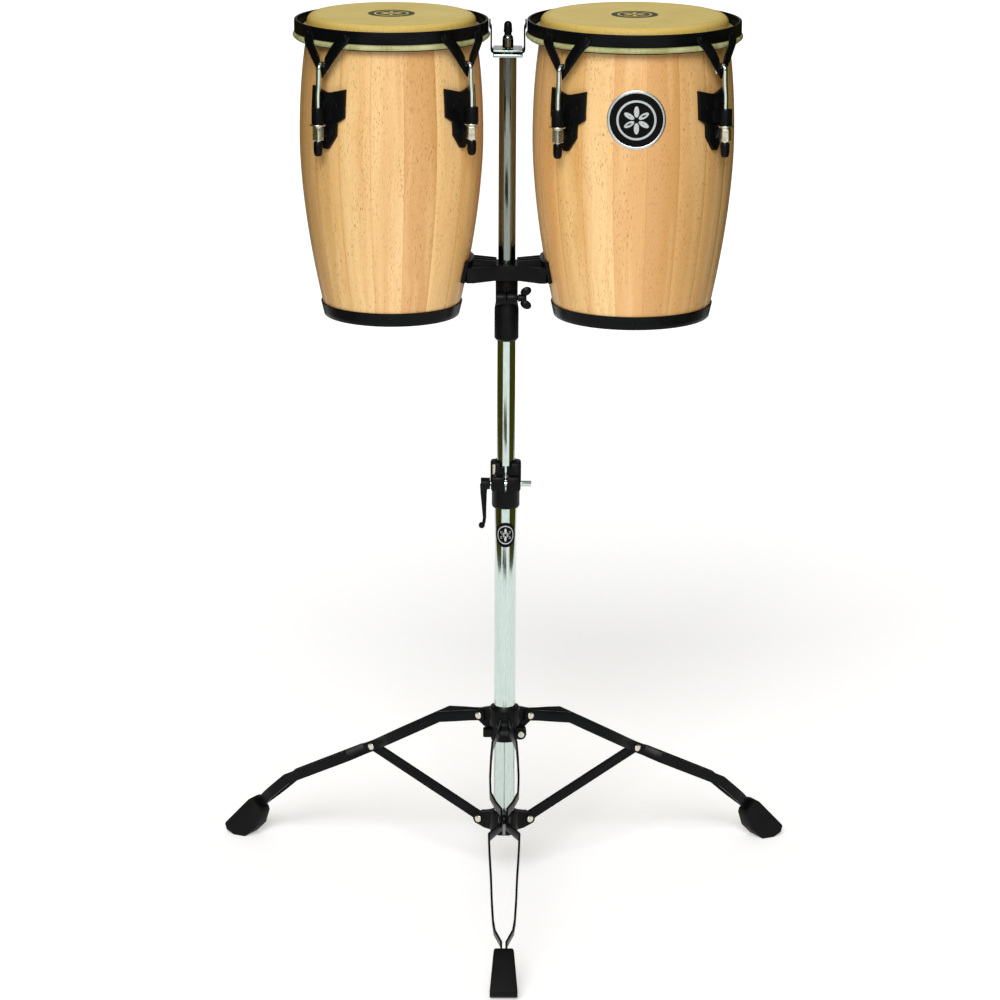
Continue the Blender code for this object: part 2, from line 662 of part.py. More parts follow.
def make_spreader():
    """A bow-tie plate whose hollow ends, with raised pads, lie along the shells."""
    left, right = DRUMS["left"], DRUMS["right"]
    left_end = pad_arc(left, shell_radius(left, SPREADER_TOP) + GAP + 0.6, 1)
    right_end = pad_arc(right, shell_radius(right, SPREADER_TOP) + GAP + 0.6, -1)
    waist = WAIST_HALF_DEEP
    left_end, right_end = left_end[1:-1], right_end[1:-1]
    corner = PAD_HALF_DEEP - 1.5
    left_x, right_x = left_end[0][0], right_end[0][0]
    front = [(left_x, -corner + 3), (left_x + 1.5, -corner), (left_x + 9, -corner), (-15, -waist)]
    front += [(15, -waist), (right_x - 9, -corner), (right_x - 1.5, -corner), (right_x, -corner + 3)]
    back = [(x, -y) for x, y in front[::-1]]
    outline = front + right_end[::-1] + back + left_end[::-1]
    middle = (SPREADER_TOP + SPREADER_BOTTOM) / 2
    body = plate([outline], SPREADER_TOP - SPREADER_BOTTOM, Matrix.Translation(scaled((0, 0, middle))))
    extras = []
    for drum, way in ((left, 1), (right, -1)):
        rows = []
        for z in (SPREADER_BOTTOM + 0.5, SPREADER_TOP, PAD_TOP):
            radius = shell_radius(drum, z) + GAP + 0.5 + PAD_THICK / 2
            rows.append([(x, y, z) for x, y in pad_arc(drum, radius, way)])
        extras.append(sheet(rows, PAD_THICK))
        inner = -way * 12.5
        outer = drum["x"] + way * (shell_radius(drum, PAD_TOP) + GAP + 2.5)
        for y in (-13.0, 0.0, 13.0):
            low = SPREADER_TOP - 2
            rib = [(inner, low), (outer, low), (outer, PAD_TOP - 1), (inner, SPREADER_TOP + 4)]
            extras.append(plate([rib], 2.2, Matrix.Translation(scaled((0, y, 0))) @ upright(0)))
    body = joined(body, *extras)
    body = cut(body, cylinder(POST + TUBE_GAP, SPREADER_BOTTOM - 5, PAD_TOP + 5, sides=TUBE_STEPS))
    finish(body, "spreader", CAST)


make_spreader()

HOLDER_TOP = SPREADER_BOTTOM - GAP
r = HOLDER
bore = UPPER_TUBE + TUBE_GAP
holder = turned(
    [
        (0, HOLDER_TOP), (r - 1.2, HOLDER_TOP), (r - 1.4, WING_HEIGHT - 8), (r, HOLDER_BOTTOM + 40),
        (r, HOLDER_BOTTOM + 3), (r - 2.5, HOLDER_BOTTOM), (bore, HOLDER_BOTTOM), (bore, UPPER_TUBE_TOP + 0.8),
        (0, UPPER_TUBE_TOP + 0.8),
    ],
    TUBE_STEPS,
)
front = -WING_FORWARD
barrel = cylinder(BARREL, -r + 1.6, r - 1.6, (front, WING_HEIGHT), "x", 24)
half = BARREL - 0.5
back = box((-r + 2.2, front, WING_HEIGHT - half), (r - 2.2, -bore + 4, WING_HEIGHT + half))
barrel = cut(joined(barrel, back), cylinder(bore + 0.3, WING_HEIGHT - 20, WING_HEIGHT + 20, sides=TUBE_STEPS))
holder = joined(holder, barrel)
holder = cut(
    holder,
    box((-0.6, front - BARREL - 3, WING_HEIGHT - 22), (0.6, -bore - 1.2, WING_HEIGHT + BARREL + 5)),
    cylinder(WING_SCREW + PIN_GAP, -r - 5, r + 5, (front, WING_HEIGHT), "x", 16),
)
finish(holder, "holder", CAST)


def wing(way):
    """One lobe of the wing bolt, leaning away from its screw."""
    lobe = ball(7.4, (0, 0, 0), 6, 12, (1.0, 0.4, 0.74))
    tilt = Matrix.Rotation(radians(-32 * way), 4, "Y")
    return moved(lobe, Matrix.Translation(scaled((r + 8.6, front, WING_HEIGHT + 8.2 * way))) @ tilt)


wing_bolt = joined(
    cylinder(WING_SCREW, -r + 4, r + 6, (front, WING_HEIGHT), "x", 16),
    cylinder(4.6, r - 1.0, r + 9.5, (front, WING_HEIGHT), "x", 20, 4.2),
    wing(1),
    wing(-1),
)
finish(wing_bolt, "wing_bolt", CAST, (0, front, WING_HEIGHT))


# ---- tubes and the height clamp ---------------------------------------------------------------
finish(tube(UPPER_TUBE, UPPER_TUBE - TUBE_WALL, UPPER_TUBE_BOTTOM, UPPER_TUBE_TOP), "upper_tube", CHROME)
finish(tube(LOWER_TUBE, LOWER_TUBE - TUBE_WALL, LOWER_TUBE_BOTTOM, LOWER_TUBE_TOP), "lower_tube", CHROME)

wide = CLAMP_HALF_WIDE
lower_bore = LOWER_TUBE + TUBE_GAP
upper_bore = UPPER_TUBE + TUBE_GAP
shoulder = LOWER_TUBE_TOP + 1.5
front = -BOLT_FORWARD
clamp = joined(
    cylinder(16.2, CLAMP_BOTTOM, CLAMP_BOTTOM + 2.5, sides=TUBE_STEPS, end_radius=17.3),
    cylinder(17.3, CLAMP_BOTTOM + 2, BOLT_HEIGHT + 4, sides=TUBE_STEPS),
    box((-wide, -13, BOLT_HEIGHT - 8), (wide, 13.5, CLAMP_TOP - 1.5), 3.5, 2),
    box((-wide + 0.6, front - 7.5, BOLT_HEIGHT - 9), (wide - 0.6, front + 9, BOLT_HEIGHT + 9.5), 3.0, 2),
    cylinder(15.2, CLAMP_TOP - 8, CLAMP_TOP, sides=TUBE_STEPS, end_radius=13.6),
)
clamp = cut(
    clamp,
    cylinder(lower_bore, CLAMP_BOTTOM - 5, shoulder, sides=TUBE_STEPS),
    cylinder(upper_bore, shoulder - 3, CLAMP_TOP + 5, sides=TUBE_STEPS),
    box((-1.4, -40, BOLT_HEIGHT - 12), (1.4, -6, CLAMP_TOP + 5)),
    box((-wide + 1.8, -30, BOLT_HEIGHT + 10.5), (-11.6, -8, CLAMP_TOP - 3.5)),
    box((-7.5, -30, CLAMP_TOP - 6.5), (7.5, -6, CLAMP_TOP + 5)),
    cylinder(CLAMP_BOLT + PIN_GAP, -wide - 5, wide + 5, (front, BOLT_HEIGHT), "x", 16),
)
finish(clamp, "height_clamp", CAST)

hub_face = -wide - GAP
lever_x = hub_face - 6.5
lever = joined(
    cylinder(LEVER_HUB, hub_face - 11.5, hub_face, (front, BOLT_HEIGHT), "x", 20),
    wire(
        [
            (lever_x - 1.2, front, BOLT_HEIGHT - 1),
            (lever_x - 1.4, front, BOLT_HEIGHT - 12),
            (lever_x - 0.8, front, BOLT_HEIGHT - 28),
            (lever_x - 0.2, front, BOLT_HEIGHT - 44),
            (lever_x - 1.0, front, BOLT_HEIGHT - 50),
            (lever_x - 3.2, front, BOLT_HEIGHT - LEVER_DROP),
        ],
        3.0,
        [5.0, 4.2, 3.1, 2.2, 2.2, 2.6],
        10,
    ),
    ball(4.1, (lever_x - 3.6, front, BOLT_HEIGHT - LEVER_DROP)),
)
lever = cut(lever, cylinder(CLAMP_BOLT + PIN_GAP, hub_face - 8, hub_face + 5, (front, BOLT_HEIGHT), "x", 16))
finish(lever, "clamp_lever", CAST, (lever_x, front, BOLT_HEIGHT))
bolt = cylinder(CLAMP_BOLT, hub_face - 7.5, BOLT_END, (front, BOLT_HEIGHT), "x", 20)
finish(bolt, "clamp_bolt", CHROME, (0, front, BOLT_HEIGHT))


# ---- collar and hub ---------------------------------------------------------------------------
def across(radius, half, height, turn, reach=PIVOT_R, sides=16):
    """A pin along the pivot's axis, at this turn about the tube."""
    pin = cylinder(radius, -half, half, (reach, height), "y", sides)
    return moved(pin, Matrix.Rotation(radians(turn), 4, "Z"))


def make_collar():
    bore = LOWER_TUBE + TUBE_GAP
    ring = COLLAR - 2.2
    low, high = COLLAR_BOTTOM, COLLAR_TOP
    body = turned(
        [(0, high), (COLLAR - 1.8, high), (COLLAR, high - 4), (COLLAR, low + 23), (ring, low + 15), (ring, low), (0, low)],
        TUBE_STEPS,
    )
    root = bore + 2.5
    pivot = (PIVOT_R, COLLAR_PIVOT)
    ear = [(root, high - 3)] + arc(pivot, 8.0, 82, -75, 6) + [(28, low + 14), (root, low + 7)]
    extras = [plate([ear], EAR_THICK, upright(turn)) for turn in LEG_TURNS.values()]
    screw_height = low + 9
    extras.append(box((-27, -7, low + 3.5), (-ring + 3, 7, low + 13.5), 1.2, 1))
    extras.append(cylinder(7.6, -9, 9, (20.0, screw_height), "y", 20))
    extras.append(box((ring - 3, -9, low + 2), (20, 9, low + 16.5), 0.8, 1))
    body = joined(body, *extras)
    holes = [across(RIVET + PIN_GAP, 10, COLLAR_PIVOT, turn) for turn in LEG_TURNS.values()]
    holes.append(cylinder(bore, low - 5, high + 5, sides=TUBE_STEPS))
    holes.append(box((bore - 2, -1.0, low - 5), (35, 1.0, low + 18)))
    holes.append(cylinder(2.5 + PIN_GAP, -20, 20, (21.0, screw_height), "y", 12))
    finish(cut(body, *holes), "collar", CAST, (0, 0, COLLAR_PIVOT))
    screw = joined(
        cylinder(2.5, -11, 9.5, (21.0, screw_height), "y", 12),
        cylinder(3.9, -12.6, -9 - GAP, (21.0, screw_height), "y", 16),
    )
    finish(screw, "collar_screw", NICKEL, (21.0, 0, screw_height))


def make_hub():
    bore = LOWER_TUBE + TUBE_GAP
    low = LOWER_TUBE_BOTTOM - 1.5
    body = turned([(bore, HUB_TOP), (HUB, HUB_TOP), (HUB, low + 4), (HUB - 1.5, low), (bore, low)], TUBE_STEPS)
    root = bore + 2
    pivot = (PIVOT_R, HUB_PIVOT)
    cheek = [(root, HUB_TOP - 1)] + arc(pivot, 8.0, 95, -50, 6) + [(25, low + 3), (root, low + 2)]
    extras = []
    for turn in LEG_TURNS.values():
        for side in (-1, 1):
            middle = side * (BRACE_THICK / 2 + GAP + 0.15 + FORK_THICK / 2)
            extras.append(plate([cheek], FORK_THICK, upright(turn) @ Matrix.Translation(scaled((0, 0, middle)))))
        half = BRACE_THICK / 2 + GAP + FORK_THICK
        extras.append(across(RIVET, half + 1, HUB_PIVOT, turn, sides=12))
        for side in (-1, 1):
            head = cylinder(RIVET_HEAD, side * (half - 0.5), side * (half + 1.6), (PIVOT_R, HUB_PIVOT), "y", 12)
            extras.append(moved(head, Matrix.Rotation(radians(turn), 4, "Z")))
    finish(joined(body, *extras), "hub", CAST)


make_collar()
make_hub()


# ---- legs, braces and feet --------------------------------------------------------------------
def on_line(a, b, r):
    return a[1] + (b[1] - a[1]) * (r - a[0]) / (b[0] - a[0])


def leg_line():
    """The leg's middle line: radius, height, and how far its two strips stand from it."""
    pivot, knee = (PIVOT_R, COLLAR_PIVOT), (KNEE_R, KNEE_HEIGHT)
    inner_end = (PIVOT_R - 7, on_line(pivot, LEG_BEND, PIVOT_R - 7))
    line = [(*inner_end, PIVOT_SPREAD), (*pivot, PIVOT_SPREAD)]
    for r, spread in ((PIVOT_R + 14, PIVOT_SPREAD + 0.8), (PIVOT_R + 32, 11.0)):
        line.append((r, on_line(pivot, LEG_BEND, r), spread))
    line.append((*LEG_BEND, 15.0))
    for back, spread in ((86, BOW - 1), (58, BOW), (34, BOW - 0.8), (20, 10.2), (10.5, KNEE_SPREAD)):
        line.append((KNEE_R - back, on_line(LEG_BEND, knee, KNEE_R - back), spread))
    line.append((*knee, KNEE_SPREAD))
    for on, spread in ((10.5, KNEE_SPREAD), (18, 10.5), (27, BOW + 1.0), (55, BOW), (92, BOW - 2.0)):
        line.append((KNEE_R + on, on_line(knee, ANKLE, KNEE_R + on), spread))
    line.append((*ANKLE, 14.6))
    for back, spread in ((28, 13.0), (18, 11.0), (6, FOOT_SPREAD), (-FOOT_DEPTH * foot_frame()[0], FOOT_SPREAD)):
        r = FOOT_ENTRY[0] - back
        line.append((r, on_line(ANKLE, FOOT_ENTRY, r), spread))
    return line


def strip(line, side):
    """One of a leg's two steel strips."""
    lower, upper = [], []
    for i, (r, z, spread) in enumerate(line):
        before, after = line[max(i - 1, 0)], line[min(i + 1, len(line) - 1)]
        run, fall = after[0] - before[0], after[1] - before[1]
        length = hypot(run, fall)
        nr, nz = -fall / length * STRIP_TALL / 2, run / length * STRIP_TALL / 2
        lower.append((r - nr, side * spread, z - nz))
        upper.append((r + nr, side * spread, z + nz))
    return sheet([lower, upper], STRIP_THICK)


def rivet(place, spread, sides=10):
    """A rivet through both strips, with a head on each."""
    outer = spread + STRIP_THICK / 2
    pieces = [cylinder(RIVET, -outer, outer, place, "y", sides)]
    for side in (-1, 1):
        pieces.append(cylinder(RIVET_HEAD, side * (outer - 0.8), side * (outer + 1.5), place, "y", sides))
    return pieces


def foot_frame():
    """Direction of the strips where they go into the foot."""
    run, fall = FOOT_ENTRY[0] - ANKLE[0], FOOT_ENTRY[1] - ANKLE[1]
    length = hypot(run, fall)
    return run / length, fall / length


def make_foot():
    """A rubber boot: a side outline, wider towards the toe, with a pocket for the strips."""
    dr, dz = foot_frame()
    half = STRIP_TALL / 2 + 2.8
    er, ez = FOOT_ENTRY[0] + 1.5 * dr, FOOT_ENTRY[1] + 1.5 * dz
    top_inner = (er + dz * half, ez - dr * half)
    top_outer = (er - dz * half, ez + dr * half)
    outline = [
        top_outer, (top_outer[0] + 6, top_outer[1] - 2.5), TOE, (TOE[0] - 2.5, 6), (TOE[0] - 15, 0),
        (TOE[0] - 31, 0), (TOE[0] - 47, 15.5), (top_inner[0] - 0.8, top_inner[1] - 5), top_inner,
    ]
    boot = plate([outline], FOOT_WIDE, upright(0))
    reach = hypot(TOE[0] - er, TOE[1] - ez)
    for vert in boot.data.vertices:
        along = ((vert.co.x / MM - er) * dr + (vert.co.z / MM - ez) * dz) / reach
        share = min(1.0, max(0.0, along))
        vert.co.y *= (FOOT_WIDE_TOP + (FOOT_WIDE - FOOT_WIDE_TOP) * share**0.8) / FOOT_WIDE
    soft = boot.modifiers.new("soft_edges", "BEVEL")
    soft.width = 2.2 * MM
    soft.segments = 2
    soft.limit_method = "ANGLE"
    soft.angle_limit = radians(40)
    boot = settled(boot)
    wide = FOOT_SPREAD + STRIP_THICK / 2 + GAP
    tall = STRIP_TALL / 2 + GAP
    pocket = box((-6, -wide, -tall), (FOOT_DEPTH + GAP, wide, tall))
    tilt = Matrix.Rotation(atan2(-dz, dr), 4, "Y")
    moved(pocket, Matrix.Translation(scaled((FOOT_ENTRY[0], 0, FOOT_ENTRY[1]))) @ tilt)
    return cut(boot, pocket)


def make_brace():
    """A flat bar between the hub's pivot and the knee."""
    a, b = (PIVOT_R, HUB_PIVOT), (KNEE_R, KNEE_HEIGHT)
    tilt = degrees(atan2(b[1] - a[1], b[0] - a[0]))
    end = BRACE_TALL / 2
    rim = arc(b, end, tilt - 90, tilt + 90, 8) + arc(a, end, tilt + 90, tilt + 270, 8)
    return plate([rim, circle(a, RIVET + PIN_GAP), circle(b, RIVET + PIN_GAP)], BRACE_THICK, upright(0))


leg = joined(
    strip(leg_line(), 1),
    strip(leg_line(), -1),
    *rivet((PIVOT_R, COLLAR_PIVOT), PIVOT_SPREAD),
    *rivet((KNEE_R, KNEE_HEIGHT), KNEE_SPREAD),
)
foot = make_foot()
brace = make_brace()
for place, turn in LEG_TURNS.items():
    spin = Matrix.Rotation(radians(turn), 4, "Z")
    knee = spin @ Vector((KNEE_R, 0, KNEE_HEIGHT))
    inner = spin @ Vector((PIVOT_R, 0, HUB_PIVOT))
    finish(moved(copy_of(leg), spin), f"{place}_leg", BLACK, knee)
    finish(moved(copy_of(foot), spin), f"{place}_foot", RUBBER, knee)
    finish(moved(copy_of(brace), spin), f"{place}_brace", BLACK, inner)
for pattern in (leg, foot, brace):
    bpy.data.objects.remove(pattern)
bpy.data.collections.remove(WORK)
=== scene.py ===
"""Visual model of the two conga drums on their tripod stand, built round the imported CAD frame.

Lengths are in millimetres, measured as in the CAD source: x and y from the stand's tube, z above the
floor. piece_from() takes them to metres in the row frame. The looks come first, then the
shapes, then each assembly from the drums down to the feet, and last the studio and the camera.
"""

from math import cos, hypot, pi, radians, sin

import bmesh
import bpy
from mathutils import Matrix, Vector


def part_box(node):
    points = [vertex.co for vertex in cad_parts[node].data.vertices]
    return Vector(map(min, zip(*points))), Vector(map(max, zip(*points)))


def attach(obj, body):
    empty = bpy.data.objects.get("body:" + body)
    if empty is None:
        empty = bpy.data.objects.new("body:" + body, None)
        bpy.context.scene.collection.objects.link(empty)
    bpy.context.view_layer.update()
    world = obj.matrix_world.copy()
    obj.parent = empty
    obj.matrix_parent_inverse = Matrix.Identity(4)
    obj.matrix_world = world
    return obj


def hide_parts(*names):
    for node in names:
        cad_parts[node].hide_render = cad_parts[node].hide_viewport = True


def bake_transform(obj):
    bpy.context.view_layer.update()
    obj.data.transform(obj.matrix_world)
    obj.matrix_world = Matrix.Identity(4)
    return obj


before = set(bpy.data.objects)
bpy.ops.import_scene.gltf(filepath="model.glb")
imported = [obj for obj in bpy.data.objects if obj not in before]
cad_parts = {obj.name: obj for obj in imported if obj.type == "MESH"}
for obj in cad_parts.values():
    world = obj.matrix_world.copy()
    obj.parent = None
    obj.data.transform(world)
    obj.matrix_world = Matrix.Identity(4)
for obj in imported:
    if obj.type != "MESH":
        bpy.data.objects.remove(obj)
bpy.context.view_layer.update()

MM = 0.001
tube_low, tube_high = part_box("lower_tube")
AXIS = Vector(((tube_low.x + tube_high.x) / 2, (tube_low.y + tube_high.y) / 2, 0))

# ---- sizes shared with the CAD ------------------------------------------------------------------
HEAD_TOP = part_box("left_head")[1].z / MM
HOOP_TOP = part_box("left_hoop")[1].z / MM
SHELL_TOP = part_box("left_shell")[1].z / MM
SHELL_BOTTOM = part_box("left_shell")[0].z / MM
RING_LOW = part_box("left_flesh_ring")[0].z / MM
RING_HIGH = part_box("left_flesh_ring")[1].z / MM
RING_SECTION = 3.4
HOOP_TALL = 15.0
HOOP_WALL = 3.5
SKIN = 1.6
BELLY_HEIGHT = 961.0
WALL = 7.0
LUG_TURNS = (49, 139, 229, 319)
ROD = 3.15
ROD_BOTTOM = 957.0
BOSS_TOP = 1013.0
HOOK_REACH = 6.2
HOOK_SET_IN = 1.6
STRAP_THICK = 2.6
STRAP_SUNK = 1.1
STRAP_WIDE_LOW, STRAP_WIDE_HIGH = 10.8, 14.4
STRAP_SPREAD = 30.0
STRAP_RIVET_DROP = 7.5
STRAP_APEX_DROP = 50.5
STRAP_LEAN = 4.6
SLOT = ROD + 0.75
SLOT_HEIGHT = HOOP_TOP - STRAP_APEX_DROP + 8.9
POST = 10.6
UPPER_TUBE = 11.1
LOWER_TUBE = 13.5
TUBE_WALL = 1.5

# staves: how many are glued round the shell; turn: where the first seam is, in degrees
DRUMS = {
    "left": {
        "x": -141.0, "head": 102.3, "top": 99.0, "belly": 111.8, "foot": 80.9, "hoop": 117.7, "rod": 130.0,
        "staves": 17, "turn": 4.0,
    },
    "right": {
        "x": 153.0, "head": 113.7, "top": 110.4, "belly": 122.8, "foot": 93.4, "hoop": 129.8, "rod": 142.0,
        "staves": 19, "turn": 11.0,
    },
}


# ---- looks --------------------------------------------------------------------------------------
class Look:
    """A material, with short ways to add the nodes of its pattern."""

    def __init__(self, name, colour, roughness, **sockets):
        self.material = bpy.data.materials.new(name)
        self.material.use_nodes = True
        self.material.diffuse_color = (*colour, 1)
        self.tree = self.material.node_tree
        self.shader = self.tree.nodes["Principled BSDF"]
        self.set("Base Color", (*colour, 1))
        self.set("Roughness", roughness)
        for socket, value in sockets.items():
            self.set(socket.replace("_", " "), value)

    def set(self, socket, value):
        """Gives one of the shader's sockets a value, or links an output to it."""
        if isinstance(value, bpy.types.NodeSocket):
            self.tree.links.new(value, self.shader.inputs[socket])
        else:
            self.shader.inputs[socket].default_value = value

    def add(self, kind, inputs, **settings):
        """A node with its settings, and its inputs by name or number. Returns its outputs."""
        made = self.tree.nodes.new("ShaderNode" + kind)
        for key, value in settings.items():
            setattr(made, key, value)
        for key, value in inputs.items():
            if isinstance(value, bpy.types.NodeSocket):
                self.tree.links.new(value, made.inputs[key])
            else:
                made.inputs[key].default_value = value
        return made.outputs

    def math(self, operation, a, b=0.0, c=0.0):
        return self.add("Math", {0: a, 1: b, 2: c}, operation=operation)[0]

    def place(self):
        """Where a point is in the row frame while the object is at rest: x, y and z."""
        coordinates = self.add("TexCoord", {})["Object"]
        return self.add("SeparateXYZ", {0: coordinates})

    def vector(self, x, y, z):
        return self.add("CombineXYZ", {0: x, 1: y, 2: z})[0]

    def scaled_place(self, *scale):
        coordinates = self.add("TexCoord", {})["Object"]
        return self.add("VectorMath", {0: coordinates, 1: scale}, operation="MULTIPLY")[0]

    def noise(self, vector, scale, detail=3.0, roughness=0.55, distortion=0.0):
        sockets = {"Vector": vector, "Scale": scale, "Detail": detail, "Roughness": roughness}
        return self.add("TexNoise", {**sockets, "Distortion": distortion})[0]

    def mix(self, factor, a, b, blend="MIX"):
        sockets = {0: factor, 6: a, 7: b}
        return self.add("Mix", sockets, data_type="RGBA", blend_type=blend)[2]

    def ramp(self, factor, *stops):
        """Colours by value: stops are (position, (r, g, b))."""
        made = self.tree.nodes.new("ShaderNodeValToRGB")
        elements = made.color_ramp.elements
        while len(elements) < len(stops):
            elements.new(0.5)
        for element, (position, colour) in zip(elements, stops):
            element.position = position
            element.color = (*colour, 1)
        self.tree.links.new(factor, made.inputs[0])
        return made.outputs[0]

    def between(self, value, low, high, out_low=0.0, out_high=1.0):
        sockets = {"Value": value, "From Min": low, "From Max": high, "To Min": out_low, "To Max": out_high}
        return self.add("MapRange", sockets)[0]

    def bump(self, height, depth, strength=1.0):
        sockets = {"Height": height, "Distance": depth, "Strength": strength}
        self.set("Normal", self.add("Bump", sockets)["Normal"])

    def grain(self, around, height, own, fineness, detail):
        """Noise drawn out along a stave; fineness is how often it changes round and along."""
        across = self.math("MULTIPLY", around, fineness[0])
        along = self.math("MULTIPLY", height, fineness[1])
        return self.noise(self.vector(across, along, own), 1.0, detail)

    def about(self, drum):
        """How far a point is east and north of a drum's axis."""
        where = self.place()
        east = self.math("SUBTRACT", where[0], drum["x"] * MM + AXIS.x)
        return east, self.math("SUBTRACT", where[1], AXIS.y), where[2]


def wood_look(side, drum):
    """Lacquered staves: each has its own tint and grain, with a fine glue line between them."""
    look = Look(f"blond_wood_{side}", (0.80, 0.50, 0.22), 0.36, Coat_Weight=0.25, Coat_Roughness=0.16)
    east, north, height = look.about(drum)
    angle = look.math("ARCTAN2", north, east)
    turns = look.math("DIVIDE", angle, 2 * pi)
    turns = look.math("SUBTRACT", turns, drum["turn"] / 360)
    turns = look.math("FRACT", look.math("ADD", turns, 2.0))
    count = look.math("MULTIPLY", turns, drum["staves"])
    stave = look.math("FLOOR", count)
    share = look.math("FRACT", count)
    seed = 3.7 if side == "left" else 41.3
    chance = look.add("TexWhiteNoise", {"W": look.math("ADD", stave, seed)}, noise_dimensions="1D")
    own = look.math("MULTIPLY", chance[0], 37.0)
    around = look.math("MULTIPLY", angle, drum["belly"] * MM)
    wander = look.noise(look.vector(around, height, own), 9.0, 2.0)
    bent = look.math("ADD", around, look.math("MULTIPLY", look.math("SUBTRACT", wander, 0.5), 0.022))

    tint = look.ramp(
        chance[0],
        (0.0, (0.80, 0.47, 0.18)), (0.3, (0.62, 0.33, 0.11)), (0.55, (0.84, 0.56, 0.25)),
        (0.78, (0.70, 0.42, 0.13)), (1.0, (0.81, 0.51, 0.21)),
    )
    bands = look.grain(bent, height, own, (62.0, 2.0), 4.0)
    tint = look.mix(look.between(bands, 0.45, 0.8, 0.0, 0.7), tint, (0.60, 0.29, 0.08, 1))
    pale = look.grain(bent, height, own, (40.0, 3.0), 2.0)
    tint = look.mix(look.between(pale, 0.5, 0.8, 0.0, 0.6), tint, (0.92, 0.66, 0.34, 1))
    fibre = look.grain(bent, height, own, (700.0, 14.0), 3.0)
    tint = look.mix(look.between(fibre, 0.35, 0.75, 0.0, 0.35), tint, (0.62, 0.33, 0.12, 1))
    pores = look.grain(bent, height, own, (1300.0, 170.0), 1.0)
    patches = look.grain(bent, height, own, (60.0, 12.0), 2.0)
    scattered = look.between(patches, 0.38, 0.62, 0.3, 1.0)
    fleck = look.math("MULTIPLY", look.between(pores, 0.61, 0.70), scattered)
    tint = look.mix(fleck, tint, (0.30, 0.14, 0.035, 1))
    edge = look.math("MINIMUM", share, look.math("SUBTRACT", 1.0, share))
    flush = look.math("MULTIPLY", look.between(edge, 0.0, 0.10, 0.25, 0.0), chance[0])
    tint = look.mix(flush, tint, (0.70, 0.30, 0.10, 1))
    seam = look.between(edge, 0.003, 0.012, 0.45, 0.0)
    tint = look.mix(seam, tint, (0.36, 0.17, 0.05, 1))
    look.set("Base Color", tint)
    look.set("Roughness", look.between(fibre, 0.3, 0.7, 0.32, 0.42))
    relief = look.math("SUBTRACT", look.math("MULTIPLY", fibre, 0.4), look.math("ADD", fleck, seam))
    look.bump(relief, 0.00012, 0.5)
    return look.material


def skin_look(side, drum):
    """Natural skin: pale gold on top, darker and grained where it turns down over the shell's edge."""
    look = Look(f"natural_skin_{side}", (0.76, 0.60, 0.22), 0.52, Specular_IOR_Level=0.35)
    east, north, height = look.about(drum)
    square = look.math("ADD", look.math("MULTIPLY", east, east), look.math("MULTIPLY", north, north))
    radius = look.math("SQRT", square)
    cloud = look.noise(look.scaled_place(1, 1, 1), 17.0, 4.0)
    top = look.mix(look.between(cloud, 0.3, 0.7), (0.84, 0.67, 0.22, 1), (0.76, 0.58, 0.17, 1))
    hair = look.noise(look.scaled_place(1, 1, 0.4), 700.0, 3.0, 0.7)
    grained = look.mix(look.between(hair, 0.35, 0.7), (0.66, 0.45, 0.10, 1), (0.42, 0.25, 0.04, 1))
    shoulder = look.between(radius, (drum["head"] - 13) * MM, (drum["head"] + 1) * MM)
    colour = look.mix(look.math("MULTIPLY", shoulder, 0.8), top, grained)
    skirt = look.between(height, 1.104, 1.096)
    colour = look.mix(look.math("MULTIPLY", skirt, 0.7), colour, (0.46, 0.42, 0.20, 1))
    fine = look.between(hair, 0.55, 0.75, 0.0, 0.25)
    look.set("Base Color", look.mix(fine, colour, (0.40, 0.26, 0.06, 1)))
    look.set("Roughness", look.between(cloud, 0.3, 0.7, 0.46, 0.58))
    wrinkles = look.math("ADD", look.math("MULTIPLY", hair, 0.5), look.math("MULTIPLY", cloud, 2.0))
    look.bump(wrinkles, 0.0003, 0.4)
    return look.material


def rawhide_look(side, drum):
    """The same skin, dry and pleated where it is tucked round the flesh ring, with painted shade along the
    folds.
    """
    look = Look(f"tucked_skin_{side}", (0.42, 0.42, 0.20), 0.6, Specular_IOR_Level=0.3)
    east, north, height = look.about(drum)
    angle = look.math("ARCTAN2", north, east)
    folds = look.vector(look.math("MULTIPLY", angle, 26.0), look.math("MULTIPLY", height, 60.0), 0.0)
    pleat = look.noise(folds, 1.0, 4.0, 0.7)
    stain = look.noise(look.scaled_place(1, 1, 1), 38.0, 4.0, 0.6)
    colour = look.mix(look.between(stain, 0.35, 0.65), (0.50, 0.49, 0.26, 1), (0.30, 0.31, 0.12, 1))
    # Darker along the folds: painted shade in the pleats.
    colour = look.mix(look.between(pleat, 0.55, 0.75, 0.0, 0.7), colour, (0.14, 0.14, 0.05, 1))
    look.set("Base Color", colour)
    look.bump(pleat, 0.0009, 0.7)
    return look.material


def coat_look(name, colour, roughness, grain, depth, **sockets):
    """Painted, cast or moulded black: the gloss varies a little and the surface has a fine grain."""
    look = Look(name, colour, roughness, **sockets)
    rough = look.noise(look.scaled_place(1, 1, 1), 45.0, 4.0)
    look.set("Roughness", look.between(rough, 0.3, 0.7, roughness - 0.05, roughness + 0.07))
    peel = look.noise(look.scaled_place(1, 1, 1), grain, 2.0)
    dust = tuple(c * 1.5 + 0.001 for c in colour)
    look.set("Base Color", look.mix(look.between(rough, 0.45, 0.75), (*colour, 1), (*dust, 1)))
    look.bump(peel, depth, 0.6)
    return look.material


